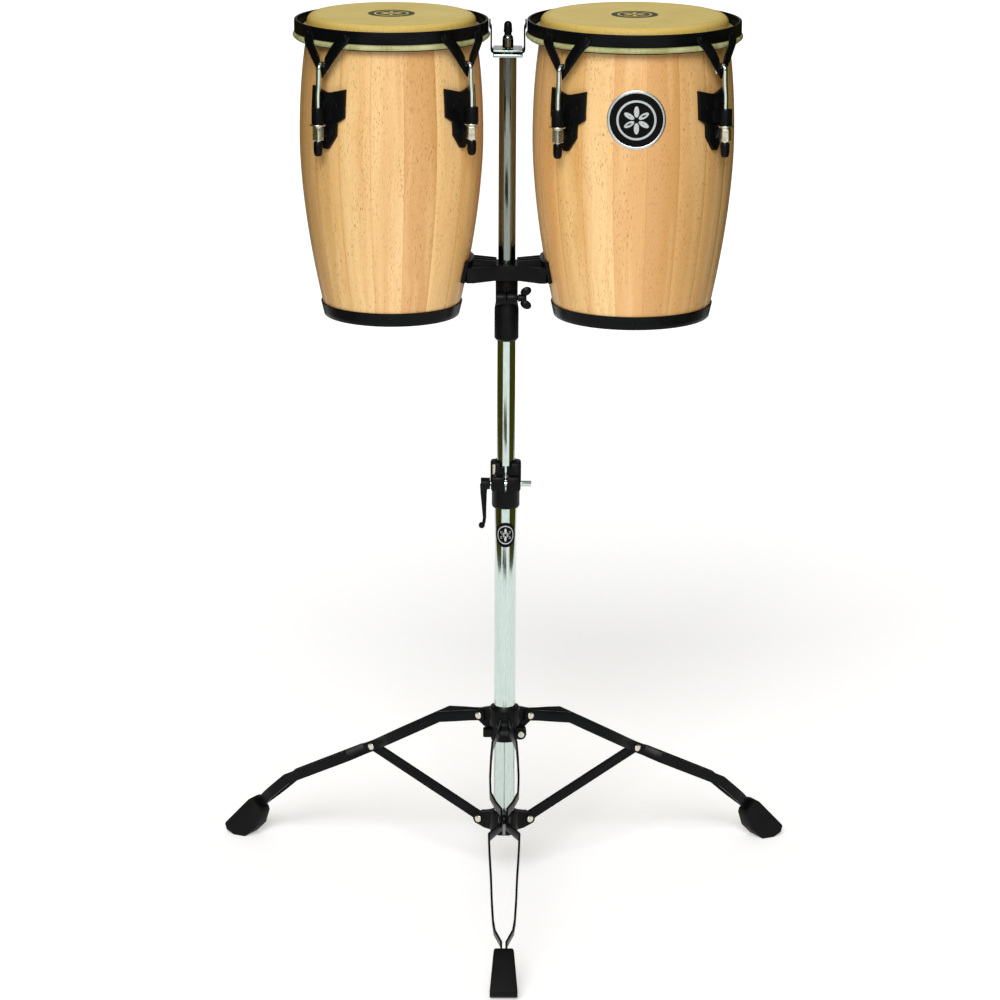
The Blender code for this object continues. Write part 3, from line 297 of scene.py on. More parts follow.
def metal_look(name, colour, roughness, grain=(220, 220, 30), depth=0.00001, **sockets):
    """Plated metal: polish that is not quite even, with faint marks along it."""
    look = Look(name, colour, roughness, Metallic=1.0, **sockets)
    marks = look.noise(look.scaled_place(*grain), 3.0, 4.0, 0.65)
    look.set("Roughness", look.between(marks, 0.3, 0.75, roughness * 0.7, roughness * 1.5))
    worn = tuple(c * 0.86 for c in colour)
    look.set("Base Color", look.mix(look.between(marks, 0.35, 0.7), (*colour, 1), (*worn, 1)))
    look.bump(marks, depth, 0.4)
    return look.material


POWDER = coat_look("black_powder_coat", (0.0022, 0.0026, 0.003), 0.3, 900.0, 0.00004, Specular_IOR_Level=0.09)
CAST = coat_look("black_casting", (0.0024, 0.0026, 0.003), 0.4, 1400.0, 0.00007, Specular_IOR_Level=0.09)
PLASTIC = coat_look("black_moulding", (0.0024, 0.0024, 0.0028), 0.34, 1100.0, 0.00005, Specular_IOR_Level=0.1)
RUBBER = coat_look("black_rubber", (0.0035, 0.0035, 0.0035), 0.62, 700.0, 0.00012, Specular_IOR_Level=0.1)
CHROME = metal_look("chrome", (0.60, 0.70, 0.66), 0.09)
# A copy of the chrome at 40 % brightness: painted shade for the post and the top nut.
SHADED_CHROME = metal_look("chrome_with_painted_shade", (0.24, 0.27, 0.24), 0.1)
NICKEL = metal_look("nickel", (0.70, 0.68, 0.56), 0.26, (300, 300, 300), 0.00003)
SILVER = metal_look("badge_silver", (0.62, 0.66, 0.64), 0.3, (400, 400, 400))
ENAMEL = coat_look("badge_enamel", (0.0015, 0.0016, 0.002), 0.3, 300.0, 0.00002, Specular_IOR_Level=0.08)
INK = coat_look("printed_ink", (0.045, 0.053, 0.010), 0.5, 500.0, 0.00003, Specular_IOR_Level=0.3)
INK_GAP = coat_look("bare_skin_in_print", (0.72, 0.55, 0.17), 0.5, 500.0, 0.00003, Specular_IOR_Level=0.3)


def piece_from(bm, name, look, smooth=35):
    """An object of this mesh, whose points are in millimetres from the tube's axis."""
    bmesh.ops.recalc_face_normals(bm, faces=bm.faces)
    mesh = bpy.data.meshes.new(name)
    bm.to_mesh(mesh)
    bm.free()
    mesh.transform(Matrix.Translation(AXIS) @ Matrix.Diagonal((MM, MM, MM, 1)))
    mesh.materials.append(look)
    mesh.shade_smooth()
    mesh.set_sharp_from_angle(angle=radians(smooth))
    made = bpy.data.objects.new(name, mesh)
    bpy.context.scene.collection.objects.link(made)
    return made


def skinned(bm, rows, joined=False):
    """Faces between rows of vertices that go round; joined also links the last row to the first."""
    for a, b in zip(rows, rows[1:] + rows[:1] if joined else rows[1:]):
        for j in range(len(a)):
            k = (j + 1) % len(a)
            bm.faces.new((a[j], a[k], b[k], b[j]))


def lathe(bm, profile, centre=(0, 0), steps=96, ends="joined", angles=None, push=None):
    """Turns a profile of (radius, height) points about a vertical axis; push moves a point's radius.

    The profile's ends are joined, both capped, or only the first is capped.
    """
    angles = angles or [2 * pi * i / steps for i in range(steps)]
    rows = []
    for r, z in profile:
        row = []
        for angle in angles:
            reach = r + (push(r, angle, z) if push else 0.0)
            row.append(bm.verts.new((centre[0] + reach * cos(angle), centre[1] + reach * sin(angle), z)))
        rows.append(row)
    skinned(bm, rows, ends == "joined")
    for row in {"joined": [], "capped": [rows[0], rows[-1]], "first": [rows[0]]}[ends]:
        bm.faces.new(row)
    return [v for row in rows for v in row]


def arc(centre, radius, start, end, steps):
    turns = [radians(start + (end - start) * i / steps) for i in range(steps + 1)]
    return [(centre[0] + radius * cos(t), centre[1] + radius * sin(t)) for t in turns]


def round_box(left, right, bottom, top, soft, steps=4):
    """A closed profile: a rectangle with rounded corners."""
    corners = (
        ((right - soft, top - soft), 90, 0),
        ((right - soft, bottom + soft), 0, -90),
        ((left + soft, bottom + soft), 270, 180),
        ((left + soft, top - soft), 180, 90),
    )
    return [p for centre, start, end in corners for p in arc(centre, soft, start, end, steps)]


def turned(name, look, profile, centre=(0, 0), steps=96, ends="joined", smooth=35):
    bm = bmesh.new()
    lathe(bm, profile, centre, steps, ends)
    return piece_from(bm, name, look, smooth)


def swept(bm, line, radii, sides=16, frame_up=Vector((0, 1, 0))):
    """A round rod along a line of points; radii is one radius or one a point."""
    points = [Vector(p) for p in line]
    if not hasattr(radii, "__len__"):
        radii = [radii] * len(points)
    rows = []
    for i, point in enumerate(points):
        before, after = points[max(i - 1, 0)], points[min(i + 1, len(points) - 1)]
        along = (after - before).normalized()
        across = frame_up.cross(along).normalized()
        up = along.cross(across)
        row = []
        for j in range(sides):
            t = 2 * pi * j / sides
            row.append(bm.verts.new(point + (across * cos(t) + up * sin(t)) * radii[i]))
        rows.append(row)
    skinned(bm, rows)
    for row in (rows[0], rows[-1]):
        bm.faces.new(row)
    return [v for row in rows for v in row]


def turn_about(verts, angle, centre=(0, 0)):
    """Turns vertices about a vertical axis, in degrees."""
    shift = Vector((centre[0], centre[1], 0))
    matrix = Matrix.Translation(shift) @ Matrix.Rotation(radians(angle), 4, "Z") @ Matrix.Translation(-shift)
    for vert in verts:
        vert.co = matrix @ vert.co


def button(bm, base, out, radius, rise, rings=4, sides=20, rim=0.35):
    """A domed head on a face: base is its middle, out the way it faces."""
    out = Vector(out).normalized()
    side = out.orthogonal().normalized()
    other = out.cross(side)
    profile = [(radius, -0.3), (radius, rise * rim)]
    for i in range(1, rings + 1):
        t = pi / 2 * i / (rings + 0.4)
        profile.append((radius * cos(t), rise * (rim + (1 - rim) * sin(t))))
    rows = []
    for r, h in profile:
        row = []
        for j in range(sides):
            t = 2 * pi * j / sides
            row.append(bm.verts.new(Vector(base) + (side * cos(t) + other * sin(t)) * r + out * h))
        rows.append(row)
    skinned(bm, rows)
    bm.faces.new(rows[0])
    bm.faces.new(rows[-1])
    return [v for row in rows for v in row]


def show(piece, body, slot, *nodes):
    """The piece moves with a body and stands for these CAD nodes; slot is not used."""
    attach(piece, body)
    if nodes:
        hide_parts(*nodes)
    return piece


def smoothing_group():
    """Geometry nodes that shade a CAD node smooth up to an angle and drop its custom normals."""
    group = bpy.data.node_groups.new("smooth_to_angle", "GeometryNodeTree")
    group.interface.new_socket("Geometry", in_out="INPUT", socket_type="NodeSocketGeometry")
    group.interface.new_socket("Geometry", in_out="OUTPUT", socket_type="NodeSocketGeometry")
    nodes, links = group.nodes, group.links
    start, end = nodes.new("NodeGroupInput"), nodes.new("NodeGroupOutput")
    normals = nodes.new("GeometryNodeSetMeshNormal")
    normals.mode = "SHARPNESS"
    normals.inputs["Remove Custom"].default_value = True
    normals.inputs["Face Sharpness"].default_value = False
    angle = nodes.new("GeometryNodeInputMeshEdgeAngle")
    compare = nodes.new("FunctionNodeCompare")
    compare.operation = "GREATER_THAN"
    compare.inputs[1].default_value = radians(34)
    links.new(angle.outputs[0], compare.inputs[0])
    links.new(compare.outputs[0], normals.inputs["Edge Sharpness"])
    links.new(start.outputs[0], normals.inputs["Mesh"])
    links.new(normals.outputs[0], end.inputs[0])
    return group


SMOOTHING = smoothing_group()


def soften(node, look, bevel=0.5, segments=2):
    """Gives a CAD node its look, rounded edges and smooth faces."""
    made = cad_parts[node]
    made.material_slots[0].material = look
    weld = made.modifiers.new("weld", "WELD")
    weld.merge_threshold = 0.00001
    flat = made.modifiers.new("join_flat_faces", "DECIMATE")
    flat.decimate_type = "DISSOLVE"
    flat.angle_limit = radians(0.6)
    if bevel:
        edges = made.modifiers.new("round_edges", "BEVEL")
        edges.width = bevel * MM
        edges.segments = segments
        edges.limit_method = "ANGLE"
        edges.angle_limit = radians(34)
        edges.harden_normals = False
    made.modifiers.new("smooth", "NODES").node_group = SMOOTHING
    return made


# ---- the drums ----------------------------------------------------------------------------------
def shell_radius(drum, height):
    if height > BELLY_HEIGHT:
        share = (height - BELLY_HEIGHT) / (SHELL_TOP - BELLY_HEIGHT)
        return drum["belly"] - (drum["belly"] - drum["top"]) * share**2.2
    share = (BELLY_HEIGHT - height) / (BELLY_HEIGHT - SHELL_BOTTOM)
    return drum["belly"] - (drum["belly"] - drum["foot"]) * share**1.7


def on_shell(drum, along, height, out=0.0, turn=-90.0):
    """A point on the shell: along is round the shell from this turn, out is from its surface."""
    radius = shell_radius(drum, height)
    angle = radians(turn) + along / radius
    radius += out
    return (drum["x"] + radius * cos(angle), radius * sin(angle), height)


def make_shell(side, drum):
    """Glued staves, with a fine groove at each joint."""
    body = f"{side}_drum"
    seams = [2 * pi * i / drum["staves"] + radians(drum["turn"]) for i in range(drum["staves"])]
    width = 2 * pi / drum["staves"]
    shares = (0.0, 0.012, 0.17, 0.34, 0.5, 0.66, 0.83, 0.988)
    angles = [seam + share * width for seam in seams for share in shares]
    grooved = {round(seam, 6) for seam in seams}

    def groove(r, angle, z):
        outside = r > shell_radius(drum, z) - 1.0
        return -0.12 if outside and round(angle, 6) in grooved else 0.0

    heights = [SHELL_TOP - 4.5 + (SHELL_BOTTOM - SHELL_TOP + 4.5) * i / 30 for i in range(31)]
    outer = [(shell_radius(drum, z), z) for z in heights]
    inner = [(r - WALL, z) for r, z in outer[::-3]]
    top = drum["top"]
    edge = [(top - WALL + 1, SHELL_TOP), (top - 5, SHELL_TOP - 0.8), (top - 1.8, SHELL_TOP - 2.2)]
    bm = bmesh.new()
    lathe(bm, outer + inner + edge, (drum["x"], 0), angles=angles, push=groove)
    show(piece_from(bm, f"{side}_stave_shell", wood_look(side, drum)), body, "blond_wood", f"{side}_shell")


def make_head(side, drum):
    """The skin, from the middle down over the shell's edge and out to the flesh ring."""
    r = drum["head"]
    skirt_end = drum["hoop"] - HOOP_WALL - 3.2
    ring_height = (RING_LOW + RING_HIGH) / 2
    outer = [(r * share, HEAD_TOP) for share in (0.12, 0.3, 0.5, 0.7, 0.85)]
    outer += arc((r - 8, HEAD_TOP - 8), 8, 90, 8, 8)
    outer += [(r + 0.3, HEAD_TOP - 10), (r + 0.9, HEAD_TOP - 12.2)]
    outer += [((r + skirt_end) / 2 + 0.5, ring_height + 10.5), (skirt_end, ring_height + 7.4)]
    outer += [(skirt_end + 0.9, ring_height + 4.6), (skirt_end + 1.2, ring_height + 2.0)]
    bm = bmesh.new()
    lathe(bm, outer, (drum["x"], 0), 128, ends="first")
    head = piece_from(bm, f"{side}_skin", skin_look(side, drum), 60)
    thick = head.modifiers.new("thickness", "SOLIDIFY")
    thick.thickness = SKIN * 0.75 * MM
    thick.offset = -1
    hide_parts(f"{side}_head")
    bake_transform(head)


def make_flesh_ring(side, drum):
    """The ring that the skin is tucked round; its pleats stand a little proud."""
    middle = (drum["hoop"] + 1.7 - RING_SECTION, (RING_LOW + RING_HIGH) / 2)
    profile = arc(middle, RING_SECTION, 0, 360, 14)[:-1]

    def pleats(_r, angle, _z):
        return 0.16 * sin(angle * 83) * sin(angle * 29 + 1) + 0.12 * sin(angle * 47 + 2)

    bm = bmesh.new()
    lathe(bm, profile, (drum["x"], 0), 240, push=pleats)
    ring = piece_from(bm, f"{side}_tucked_ring", rawhide_look(side, drum))
    show(ring, "rack", "skin_over_ring", f"{side}_flesh_ring")
    # A thin black band just under the flesh ring's lower edge.
    dark_band = arc((drum["hoop"] - 2.4, RING_LOW - 0.4), 1.3, 0, 360, 10)[:-1]
    show(turned(f"{side}_black_band_under_ring", POWDER, dark_band, (drum["x"], 0), 144), "rack", "black_coat")


def strap_point(drum, along, height, out=0.0):
    rivets = HOOP_TOP - STRAP_RIVET_DROP
    ring_height = (RING_LOW + RING_HIGH) / 2
    share = min(1.0, max(0.0, (rivets - height) / (rivets - ring_height)))
    lean = STRAP_LEAN * share * share * (3 - 2 * share)
    r = drum["hoop"] + STRAP_THICK / 2 - STRAP_SUNK + lean + out
    angle = along / drum["hoop"]
    return (drum["x"] + r * cos(angle), r * sin(angle), height)


def strap_outline(half, steps=14):
    """The two edges of one arm of the V, from its low point up to its rounded end: (along, height)."""
    low = HOOP_TOP - STRAP_APEX_DROP
    rise = STRAP_APEX_DROP - STRAP_RIVET_DROP
    length = hypot(STRAP_SPREAD, rise)
    across = (rise / length, STRAP_SPREAD / length)
    slot = [(0, -SLOT), (SLOT * 0.71, -SLOT * 0.71), (SLOT, 0.0), (SLOT, 4.0)]
    lower, upper = [(0, low - STRAP_WIDE_LOW / 2 / across[1] + 1.6)], []
    reach = length + STRAP_WIDE_HIGH / 2
    for i in range(steps + 1):
        distance = reach * i / steps
        over = max(0.0, distance - length)
        full = (STRAP_WIDE_LOW + (STRAP_WIDE_HIGH - STRAP_WIDE_LOW) * min(1.0, distance / length)) / 2
        wide = 0.8 if i == steps else (max(0.0, full * full - over * over)) ** 0.5
        s, z = STRAP_SPREAD / length * distance, low + rise / length * distance
        if i:
            lower.append((half * (s + across[0] * wide), z - across[1] * wide))
        if i < len(slot):
            upper.append((half * slot[i][0], SLOT_HEIGHT + slot[i][1]))
        else:
            upper.append((half * max(s - across[0] * wide, SLOT), z + across[1] * wide))
    return lower, upper


def strap_sheet(bm, drum, turn):
    """A V strap with rounded edges, as one closed sheet."""
    left_low, left_high = strap_outline(-1)
    right_low, right_high = strap_outline(1)
    lows = left_low[::-1] + right_low[1:]
    highs = left_high[::-1] + right_high[1:]
    half, soft = STRAP_THICK / 2, 0.6
    section = [(0.0, 0.0), (0.0, half - soft)]
    section += [(share, half) for share in (0.06, 0.35, 0.65, 0.94)]
    section.append((1.0, half - soft))
    section += [(share, -out) for share, out in section[:0:-1]]
    verts, rows = [], []
    for (s0, z0), (s1, z1) in zip(lows, highs):
        row = []
        for share, out in section:
            point = strap_point(drum, s0 + (s1 - s0) * share, z0 + (z1 - z0) * share, out)
            row.append(bm.verts.new(point))
        rows.append(row)
        verts += row
    skinned(bm, rows)
    bm.faces.new(rows[0])
    bm.faces.new(rows[-1])
    turn_about(verts, turn, (drum["x"], 0))


def make_hoop(side, drum):
    """A flat black band on the flesh ring, with four V straps riveted to it."""
    r = drum["hoop"]
    bm = bmesh.new()
    lathe(bm, round_box(r - HOOP_WALL, r, HOOP_TOP - HOOP_TALL, HOOP_TOP, 0.9), (drum["x"], 0), 144)
    show(piece_from(bm, f"{side}_hoop_band", POWDER), "rack", "black_coat", f"{side}_hoop")
    bm = bmesh.new()
    rivets = bmesh.new()
    for turn in LUG_TURNS:
        strap_sheet(bm, drum, turn)
        for half in (-1, 1):
            x, y, z = strap_point(drum, half * STRAP_SPREAD, HOOP_TOP - STRAP_RIVET_DROP, STRAP_THICK / 2)
            out = (x - drum["x"], y, 0)
            turn_about(button(rivets, (x, y, z), out, 3.9, 2.1), turn, (drum["x"], 0))
    show(piece_from(bm, f"{side}_straps", POWDER, 50), "rack", "black_coat")
    show(piece_from(rivets, f"{side}_strap_rivets", POWDER, 50), "rack", "black_coat")


def hook_line(drum):
    """The hook's middle line in (radius, height), from its threaded end to its tip."""
    upper = drum["rod"] - HOOK_SET_IN
    bend = SLOT_HEIGHT - HOOK_REACH
    line = [(drum["rod"], ROD_BOTTOM), (drum["rod"], BOSS_TOP + 6)]
    start, end = BOSS_TOP + 11, bend - 8
    for i in range(9):
        share = i / 8
        ease = share * share * (3 - 2 * share)
        line.append((drum["rod"] - HOOK_SET_IN * ease, start + (end - start) * share))
    line += arc((upper - HOOK_REACH, bend), HOOK_REACH, 0, 180, 12)
    line.append((upper - 2 * HOOK_REACH, bend - 4))
    return line


def make_tuning(side, drum):
    """Hooks with their end caps, washers, and the screws in the lugs."""
    hooks, caps, washers, screws = (bmesh.new() for _ in range(4))
    centre = (drum["x"], 0)
    rod = drum["rod"]
    nut_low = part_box(f"{side}_nut_1")[0].z / MM
    nut_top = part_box(f"{side}_nut_1")[1].z / MM
    for turn in LUG_TURNS:
        line = [(drum["x"] + r, 0, z) for r, z in hook_line(drum)]
        radii = [ROD] * (len(line) - 1) + [ROD * 0.86]
        turn_about(swept(hooks, line, radii), turn, centre)
        cap_top = nut_low - 1.9
        cap = [(ROD + 0.1, cap_top), (4.6, cap_top), (5.3, cap_top - 0.8), (5.6, cap_top - 4)]
        cap += [(5.5, 962), (5.0, 957.5), (3.6, 955.2), (1.2, 954.5)]
        verts = lathe(caps, cap, (drum["x"] + rod, 0), 24, ends="capped")
        turn_about(verts, turn, centre)
        wide = round_box(ROD + 0.4, 10.0, nut_top + 2.5, nut_top + 4.3, 0.5, 2)
        small = round_box(ROD + 0.4, 6.6, nut_top + 0.15, nut_top + 2.4, 0.5, 2)
        for profile in (wide, small):
            turn_about(lathe(washers, profile, (drum["x"] + rod, 0), 40), turn, centre)
        for along, height in ((-14.5, 1015.0), (14.5, 1015.0), (9.0, 984.0)):
            face = shell_radius(drum, height) + 0.7 + 5.0
            angle = along / face
            base = (drum["x"] + face * cos(angle), face * sin(angle), height)
            out = (cos(angle), sin(angle), 0)
            turn_about(button(screws, base, out, 3.2, 1.5, 4, 18), turn, centre)
    hook_nodes = [f"{side}_hook_{i}" for i in (1, 2, 3, 4)]
    show(piece_from(hooks, f"{side}_hooks", CHROME, 40), "rack", "chrome", *hook_nodes)
    show(piece_from(caps, f"{side}_hook_caps", PLASTIC, 40), "rack", "black_plastic")
    show(piece_from(washers, f"{side}_washers", NICKEL, 40), f"{side}_drum", "nickel")
    show(piece_from(screws, f"{side}_lug_screws", CAST, 40), f"{side}_drum", "black_casting")
    for number in (1, 2, 3, 4):
        soften(f"{side}_lug_{number}", CAST, 0.6)
        soften(f"{side}_nut_{number}", NICKEL, 0.8, 3)


def make_bottom_ring(side, drum):
    low = SHELL_BOTTOM
    profile = []
    for z in (low + 0.4, low + 5, low + 11, low + 16.3):
        profile.append((shell_radius(drum, z) + 2.0, z))
    outer = [(profile[0][0] - 0.5, low - 0.1)] + profile + [(profile[-1][0] - 0.5, low + 16.7)]
    inner = [(shell_radius(drum, z) + 0.4, z) for z in (low + 16.7, low + 8, low - 0.1)]
    show(
        turned(f"{side}_foot_band", POWDER, outer + inner, (drum["x"], 0), 144),
        f"{side}_drum", "black_coat", f"{side}_bottom_ring",
    )
    bm = bmesh.new()
    base = on_shell(drum, 0.0, low + 8.3, 2.0)
    button(bm, base, (0, -1, 0), 2.3, 1.2)
    show(piece_from(bm, f"{side}_foot_band_screw", POWDER, 50), f"{side}_drum", "black_coat")


# ---- badges: plain rosettes, the same on drums, heads and tube ----------------------------------
def rosette(size, petals=6):
    """Outlines, in the badge's own plane: a ring and a rosette, as lists of polygons."""
    shapes = []
    steps = 48
    outer, inner = 0.74 * size, 0.66 * size
    for i in range(steps):
        a, b = 2 * pi * i / steps, 2 * pi * (i + 1) / steps
        shapes.append([(r * cos(t), r * sin(t)) for r, t in ((inner, a), (outer, a), (outer, b), (inner, b))])
    for i in range(petals):
        turn = 2 * pi * i / petals + pi / 2
        outline = []
        for j in range(20):
            t = 2 * pi * j / 20
            u, v = 0.31 * size + 0.21 * size * cos(t), 0.095 * size * sin(t)
            outline.append((u * cos(turn) - v * sin(turn), u * sin(turn) + v * cos(turn)))
        shapes.append(outline)
    return shapes


def oval(bm, radius, lift, squeeze, steps=48):
    """A ring of vertices in the badge's own plane, narrower across when it is squeezed."""
    turns = [2 * pi * i / steps for i in range(steps)]
    return [bm.verts.new((radius * squeeze * cos(t), radius * sin(t), lift)) for t in turns]


def disc(bm, size, lift, fall=0.0, rings=8, squeeze=1.0):
    """A disc in the badge's own plane: faces up, with a rim that drops by fall."""
    rows = [oval(bm, size * i / rings, lift, squeeze) for i in range(1, rings + 1)]
    rows.append([bm.verts.new((v.co.x, v.co.y, lift - fall)) for v in rows[-1]])
    skinned(bm, rows)
    bm.faces.new(rows[0])


def ring_of(bm, inner, outer, lift, fall, squeeze=1.0):
    """A badge's raised rim."""
    profile = [(inner, lift - fall), (inner, lift - 0.2), (inner + 0.5, lift)]
    profile += [(outer - 0.5, lift), (outer, lift - 0.3), (outer, lift - fall)]
    skinned(bm, [oval(bm, radius, height, squeeze) for radius, height in profile])


def figure(bm, size, lift, squeeze=1.0):
    for outline in rosette(size):
        verts = [bm.verts.new((x * squeeze, y, lift)) for x, y in outline]
        bm.faces.new(verts)
    bmesh.ops.remove_doubles(bm, verts=bm.verts, dist=0.001)
    bmesh.ops.subdivide_edges(bm, edges=[e for e in bm.edges if e.calc_length() > 1.5], cuts=1)


def bent_to(bm, surface):
    """Moves every point of a flat badge, (across, up, out), on to a surface."""
    for vert in bm.verts:
        vert.co = Vector(surface(*vert.co))


def badge(name, body, surface, size, rim, inks, squeeze=1.0):
    """A disc with a rim and a rosette on a surface."""
    field, border, mark = inks
    bm = bmesh.new()
    disc(bm, size, 0.45, 0.6, squeeze=squeeze)
    bent_to(bm, surface)
    show(piece_from(bm, f"{name}_field", field, 50), body, "black_coat")
    bm = bmesh.new()
    if rim:
        ring_of(bm, size - rim, size, 0.9, 1.0, squeeze=squeeze)
        bent_to(bm, surface)
        show(piece_from(bm, f"{name}_rim", border, 50), body, "chrome")
        bm = bmesh.new()
    figure(bm, size - rim, 0.55, squeeze)
    bent_to(bm, surface)
    show(piece_from(bm, f"{name}_figure", mark, 50), body, "chrome")


for side, drum in DRUMS.items():
    make_shell(side, drum)
    make_head(side, drum)
    make_flesh_ring(side, drum)
    make_hoop(side, drum)
    make_tuning(side, drum)
    make_bottom_ring(side, drum)
    soften(f"{side}_hanger", POWDER, 0.7, 3)

right = DRUMS["right"]
badge(
    "shell_badge", "right_drum",
    lambda across, up, out: on_shell(right, across, 1004.0 + up, out),
    35.5, 3.2, (ENAMEL, SILVER, SILVER),
)

for side, drum in DRUMS.items():
    badge(
        f"{side}_head_badge", f"{side}_drum",
        lambda across, up, out, x=drum["x"]: (x + across, up, HEAD_TOP + 0.3 * out),
        28.5, 0, (INK, INK, INK_GAP),
    )

# ---- top of the rack ----------------------------------------------------------------------------
nut_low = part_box("top_nut")[0].z / MM
nut_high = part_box("top_nut")[1].z / MM
bm = bmesh.new()
hexagon = [pi / 6 + pi / 3 * i for i in range(6)]
hex_r = 13.4 / 2 / cos(pi / 6)
flats = [(3.9, nut_low), (hex_r - 0.8, nut_low), (hex_r, nut_low + 0.5)]
flats += [(hex_r, nut_low + 11), (hex_r - 0.9, nut_low + 11.6), (3.9, nut_low + 11.6)]
lathe(bm, flats, angles=hexagon)
edges = [e for e in bm.edges if abs(e.verts[0].co.z - e.verts[1].co.z) > 4]
bmesh.ops.bevel(bm, geom=edges, offset=0.5, segments=3, affect="EDGES", profile=0.5)
# The nut's hexagon and dome are in the shaded chrome: painted shade.
show(piece_from(bm, "top_nut_hexagon", SHADED_CHROME), "top_nut", "nickel", "top_nut")
dome = [(4.0, nut_low + 11.0)]
dome += [(6.5 * cos(t), nut_low + 11.2 + 6.0 * sin(t)) for t in [pi / 2 * i / 10 for i in range(7)]]
dome += [(3.9, nut_low + 16.5), (3.9, nut_low + 11.5)]
show(turned("top_nut_dome", SHADED_CHROME, dome, steps=40, smooth=60), "top_nut", "nickel")
cap_low = nut_low + 15.5
cap = [(4.0, cap_low), (4.4, cap_low + 0.6), (4.4, cap_low + 3.0), (5.2, cap_low + 3.4), (5.3, cap_low + 4.5)]
cap += [(5.0, cap_low + 8), (4.9, cap_low + 12)]
cap += [(4.8 * cos(t), nut_high - 4.8 + 4.8 * sin(t)) for t in [pi / 2 * i / 8 for i in range(8)]]
show(turned("stud_cap", PLASTIC, cap, steps=32, ends="capped"), "top_nut", "black_plastic")
soften("saddle", CHROME, 0.7, 3)
soften("top_plate", CHROME, 0.7, 3)


# ---- tubes --------------------------------------------------------------------------------------
def make_tube(node, name, look, radius, body):
    low, high = (corner.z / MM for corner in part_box(node))
    profile = round_box(radius - TUBE_WALL, radius, low, high, 0.6, 3)
    show(turned(name, look, profile, steps=72), body, "chrome", node)


# The post is in the shaded chrome: painted shade.
make_tube("post", "chrome_post", SHADED_CHROME, POST, "rack")
make_tube("upper_tube", "chrome_upper_tube", CHROME, UPPER_TUBE, "mast")
make_tube("lower_tube", "chrome_lower_tube", CHROME, LOWER_TUBE, "stand")


def on_tube(across, up, out, height=463.5):
    radius = LOWER_TUBE + out * 0.5
    angle = radians(-90) + across / LOWER_TUBE
    return (radius * cos(angle), radius * sin(angle), height + up)


badge("tube_badge", "stand", on_tube, 16.0, 0, (ENAMEL, SILVER, SILVER), squeeze=0.9)

# ---- rack's foot, clamp, lever, collar and hub --------------------------------------------------
soften("spreader", PLASTIC, 0.7, 3)
soften("holder", PLASTIC, 0.4)
soften("wing_bolt", PLASTIC, 0.5)
soften("height_clamp", CAST, 0.5)
pin = [(0.6, 541.2), (2.6, 541.2), (2.6, 553.8), (0.6, 553.8)]
show(turned("clamp_pin", NICKEL, pin, (-14.4, -11.5), 24), "stand", "nickel")
soften("clamp_lever", CAST, 0.4)
soften("clamp_bolt", CHROME, 0.6, 3)
soften("collar", CAST, 0.5)
soften("collar_screw", NICKEL, 0.4)
soften("hub", CAST, 0.5)

# ---- legs, braces and feet ----------------------------------------------------------------------
LEG_PLACES = {"front": -90.0, "back_right": 30.0, "back_left": 150.0}
PIVOT_R, COLLAR_PIVOT, HUB_PIVOT = 33.4, 221.4, 84.2
KNEE = (194.4, (COLLAR_PIVOT + HUB_PIVOT) / 2)
PIVOT_HEAD = 6.1 + 1.25 + 1.5
KNEE_HEAD = 3.5 + 1.25 + 1.5
HUB_HEAD = 1.75 + 0.4 + 5.0 + 1.6
for leg, turn in LEG_PLACES.items():
    soften(f"{leg}_leg", POWDER, 0.4)
    soften(f"{leg}_brace", POWDER, 0.5)
    soften(f"{leg}_foot", RUBBER, 0.8, 3)
    for name, body, (reach, height), stand_out in (
        ("collar_rivets", f"{leg}_leg", (PIVOT_R, COLLAR_PIVOT), PIVOT_HEAD),
        ("knee_rivets", f"{leg}_leg", KNEE, KNEE_HEAD),
        ("hub_rivets", "stand", (PIVOT_R, HUB_PIVOT), HUB_HEAD),
    ):
        bm = bmesh.new()
        for way in (-1, 1):
            verts = button(bm, (reach, way * (stand_out - 0.6), height), (0, way, 0), 4.4, 1.5)
            turn_about(verts, turn)
        look, slot = (POWDER, "black_coat") if leg == "front" else (NICKEL, "nickel")
        show(piece_from(bm, f"{leg}_{name}", look, 50), body, slot)


# ---- studio -------------------------------------------------------------------------------------
def emitter(name, colour, strength):
    made = bpy.data.materials.new(name)
    made.use_nodes = True
    tree = made.node_tree
    tree.nodes.remove(tree.nodes["Principled BSDF"])
    glow = tree.nodes.new("ShaderNodeEmission")
    glow.inputs["Color"].default_value = (*colour, 1)
    glow.inputs["Strength"].default_value = strength
    tree.links.new(glow.outputs[0], tree.nodes["Material Output"].inputs["Surface"])
    return made


def panel(name, corners, material):
    mesh = bpy.data.meshes.new(name)
    mesh.from_pydata(corners, [], [(0, 1, 2, 3)])
    mesh.materials.append(material)
    made = bpy.data.objects.new(name, mesh)
    bpy.context.scene.collection.objects.link(made)
    return made


floor_look = Look("studio_floor", (0.92, 0.92, 0.92), 0.9, Specular_IOR_Level=0.0)
speck = floor_look.noise(floor_look.scaled_place(1, 1, 1), 6.0, 3.0)
floor_look.set("Base Color", floor_look.mix(speck, (0.95, 0.95, 0.95, 1), (0.93, 0.93, 0.93, 1)))
floor_look.set("Emission Color", (1, 1, 1, 1))
floor_look.set("Emission Strength", 0.35)
FLOOR = 60.0
floor_corners = [(-FLOOR, -FLOOR, 0), (FLOOR, -FLOOR, 0), (FLOOR, FLOOR, 0), (-FLOOR, FLOOR, 0)]
panel("floor", floor_corners, floor_look.material)

def flag(name, corners, colour, strength, diffuse):
    """A dark sheet that shows only in reflections, or also dims the light from its side."""
    made = panel(name, corners, emitter(name, colour, strength))
    made.visible_camera = False
    made.visible_diffuse = diffuse
    made.visible_shadow = False


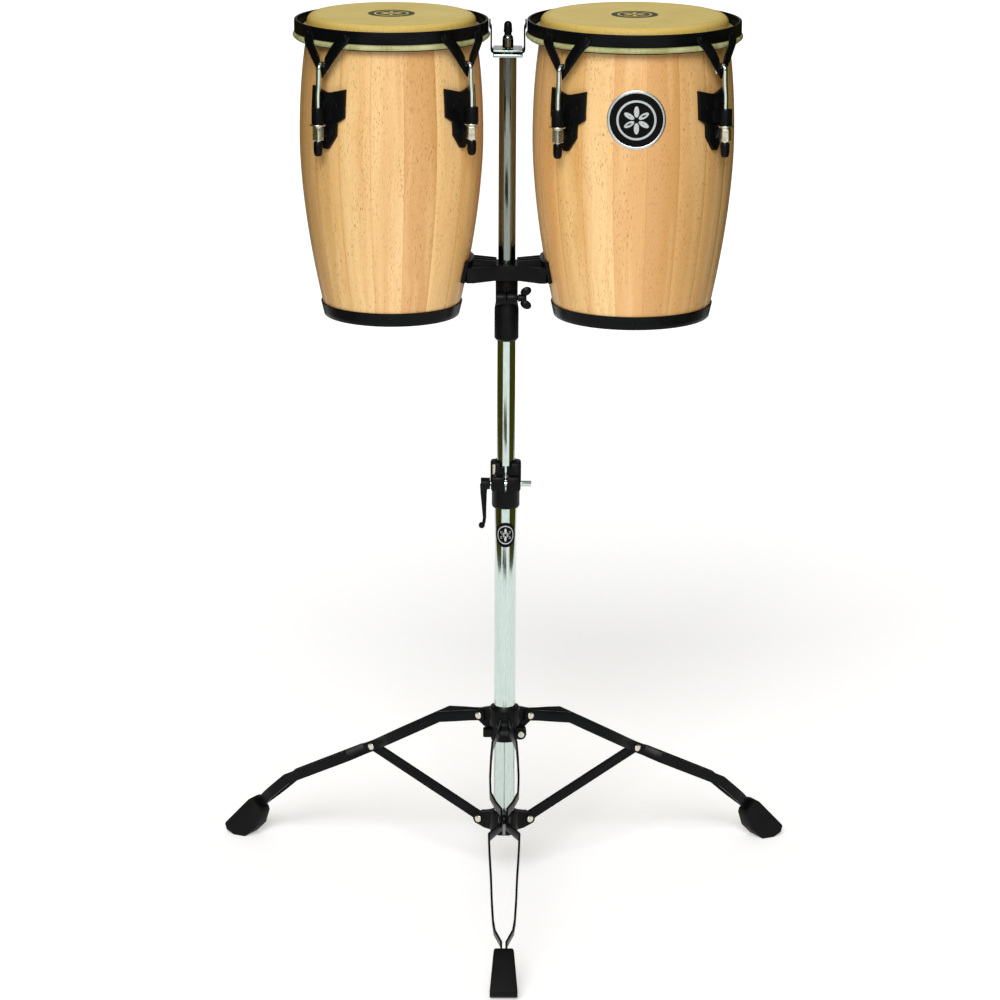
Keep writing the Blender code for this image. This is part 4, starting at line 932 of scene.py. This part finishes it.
for side, way in (("left", -1), ("right", 1)):
    rear = [(way * 0.35, 2.4, 0.0), (way * 1.5, 1.9, 0.0), (way * 1.5, 1.9, 2.4), (way * 0.35, 2.4, 2.4)]
    flag(f"rear_flag_{side}", rear, (0.08, 0.11, 0.09), 0.1, False)
    beside = [(way * 0.62, -0.6, 0.3), (way * 1.2, 1.7, 0.3), (way * 1.2, 1.7, 2.2), (way * 0.62, -0.6, 2.2)]
    flag(f"side_flag_{side}", beside, (0.45, 0.38, 0.04), 0.14, True)
flag("floor_flag", [(-2.0, -4.8, 0.004), (0.75, -4.8, 0.004), (0.75, -2.9, 0.004), (-2.0, -2.9, 0.004)],
     (0.10, 0.11, 0.08), 0.1, False)

world = bpy.data.worlds.new("studio")
world.use_nodes = True
world.node_tree.nodes["Background"].inputs["Color"].default_value = (1, 1, 1, 1)
world.node_tree.nodes["Background"].inputs["Strength"].default_value = 0.42
bpy.context.scene.world = world


def lamp(kind, name, place_at, aim, energy, size, colour=(1, 1, 1)):
    data = bpy.data.lights.new(name, kind)
    data.energy = energy
    data.color = colour
    if kind == "SUN":
        data.angle = radians(size)
    else:
        data.shape = "RECTANGLE"
        data.size, data.size_y = size
    made = bpy.data.objects.new(name, data)
    made.location = place_at
    made.rotation_euler = (Vector(aim) - Vector(place_at)).to_track_quat("-Z", "Y").to_euler()
    bpy.context.scene.collection.objects.link(made)
    return made


lamp("SUN", "key", (-0.35, -3.0, 2.0), (0, 0, 0), 2.6, 30)

camera = bpy.data.cameras.new("camera")
camera.lens = 159.4
camera.sensor_width = 36
camera_object = bpy.data.objects.new("camera", camera)
camera_object.location = (-0.007, AXIS.y - 5.3237, 1.9026)
pitch = Matrix.Rotation(radians(90 - 14.71), 4, "X")
roll = Matrix.Rotation(radians(0.27), 4, "Z")
camera_object.rotation_euler = (pitch @ roll).to_euler()
bpy.context.scene.collection.objects.link(camera_object)
bpy.context.scene.camera = camera_object
bpy.context.scene.view_settings.view_transform = "Standard"
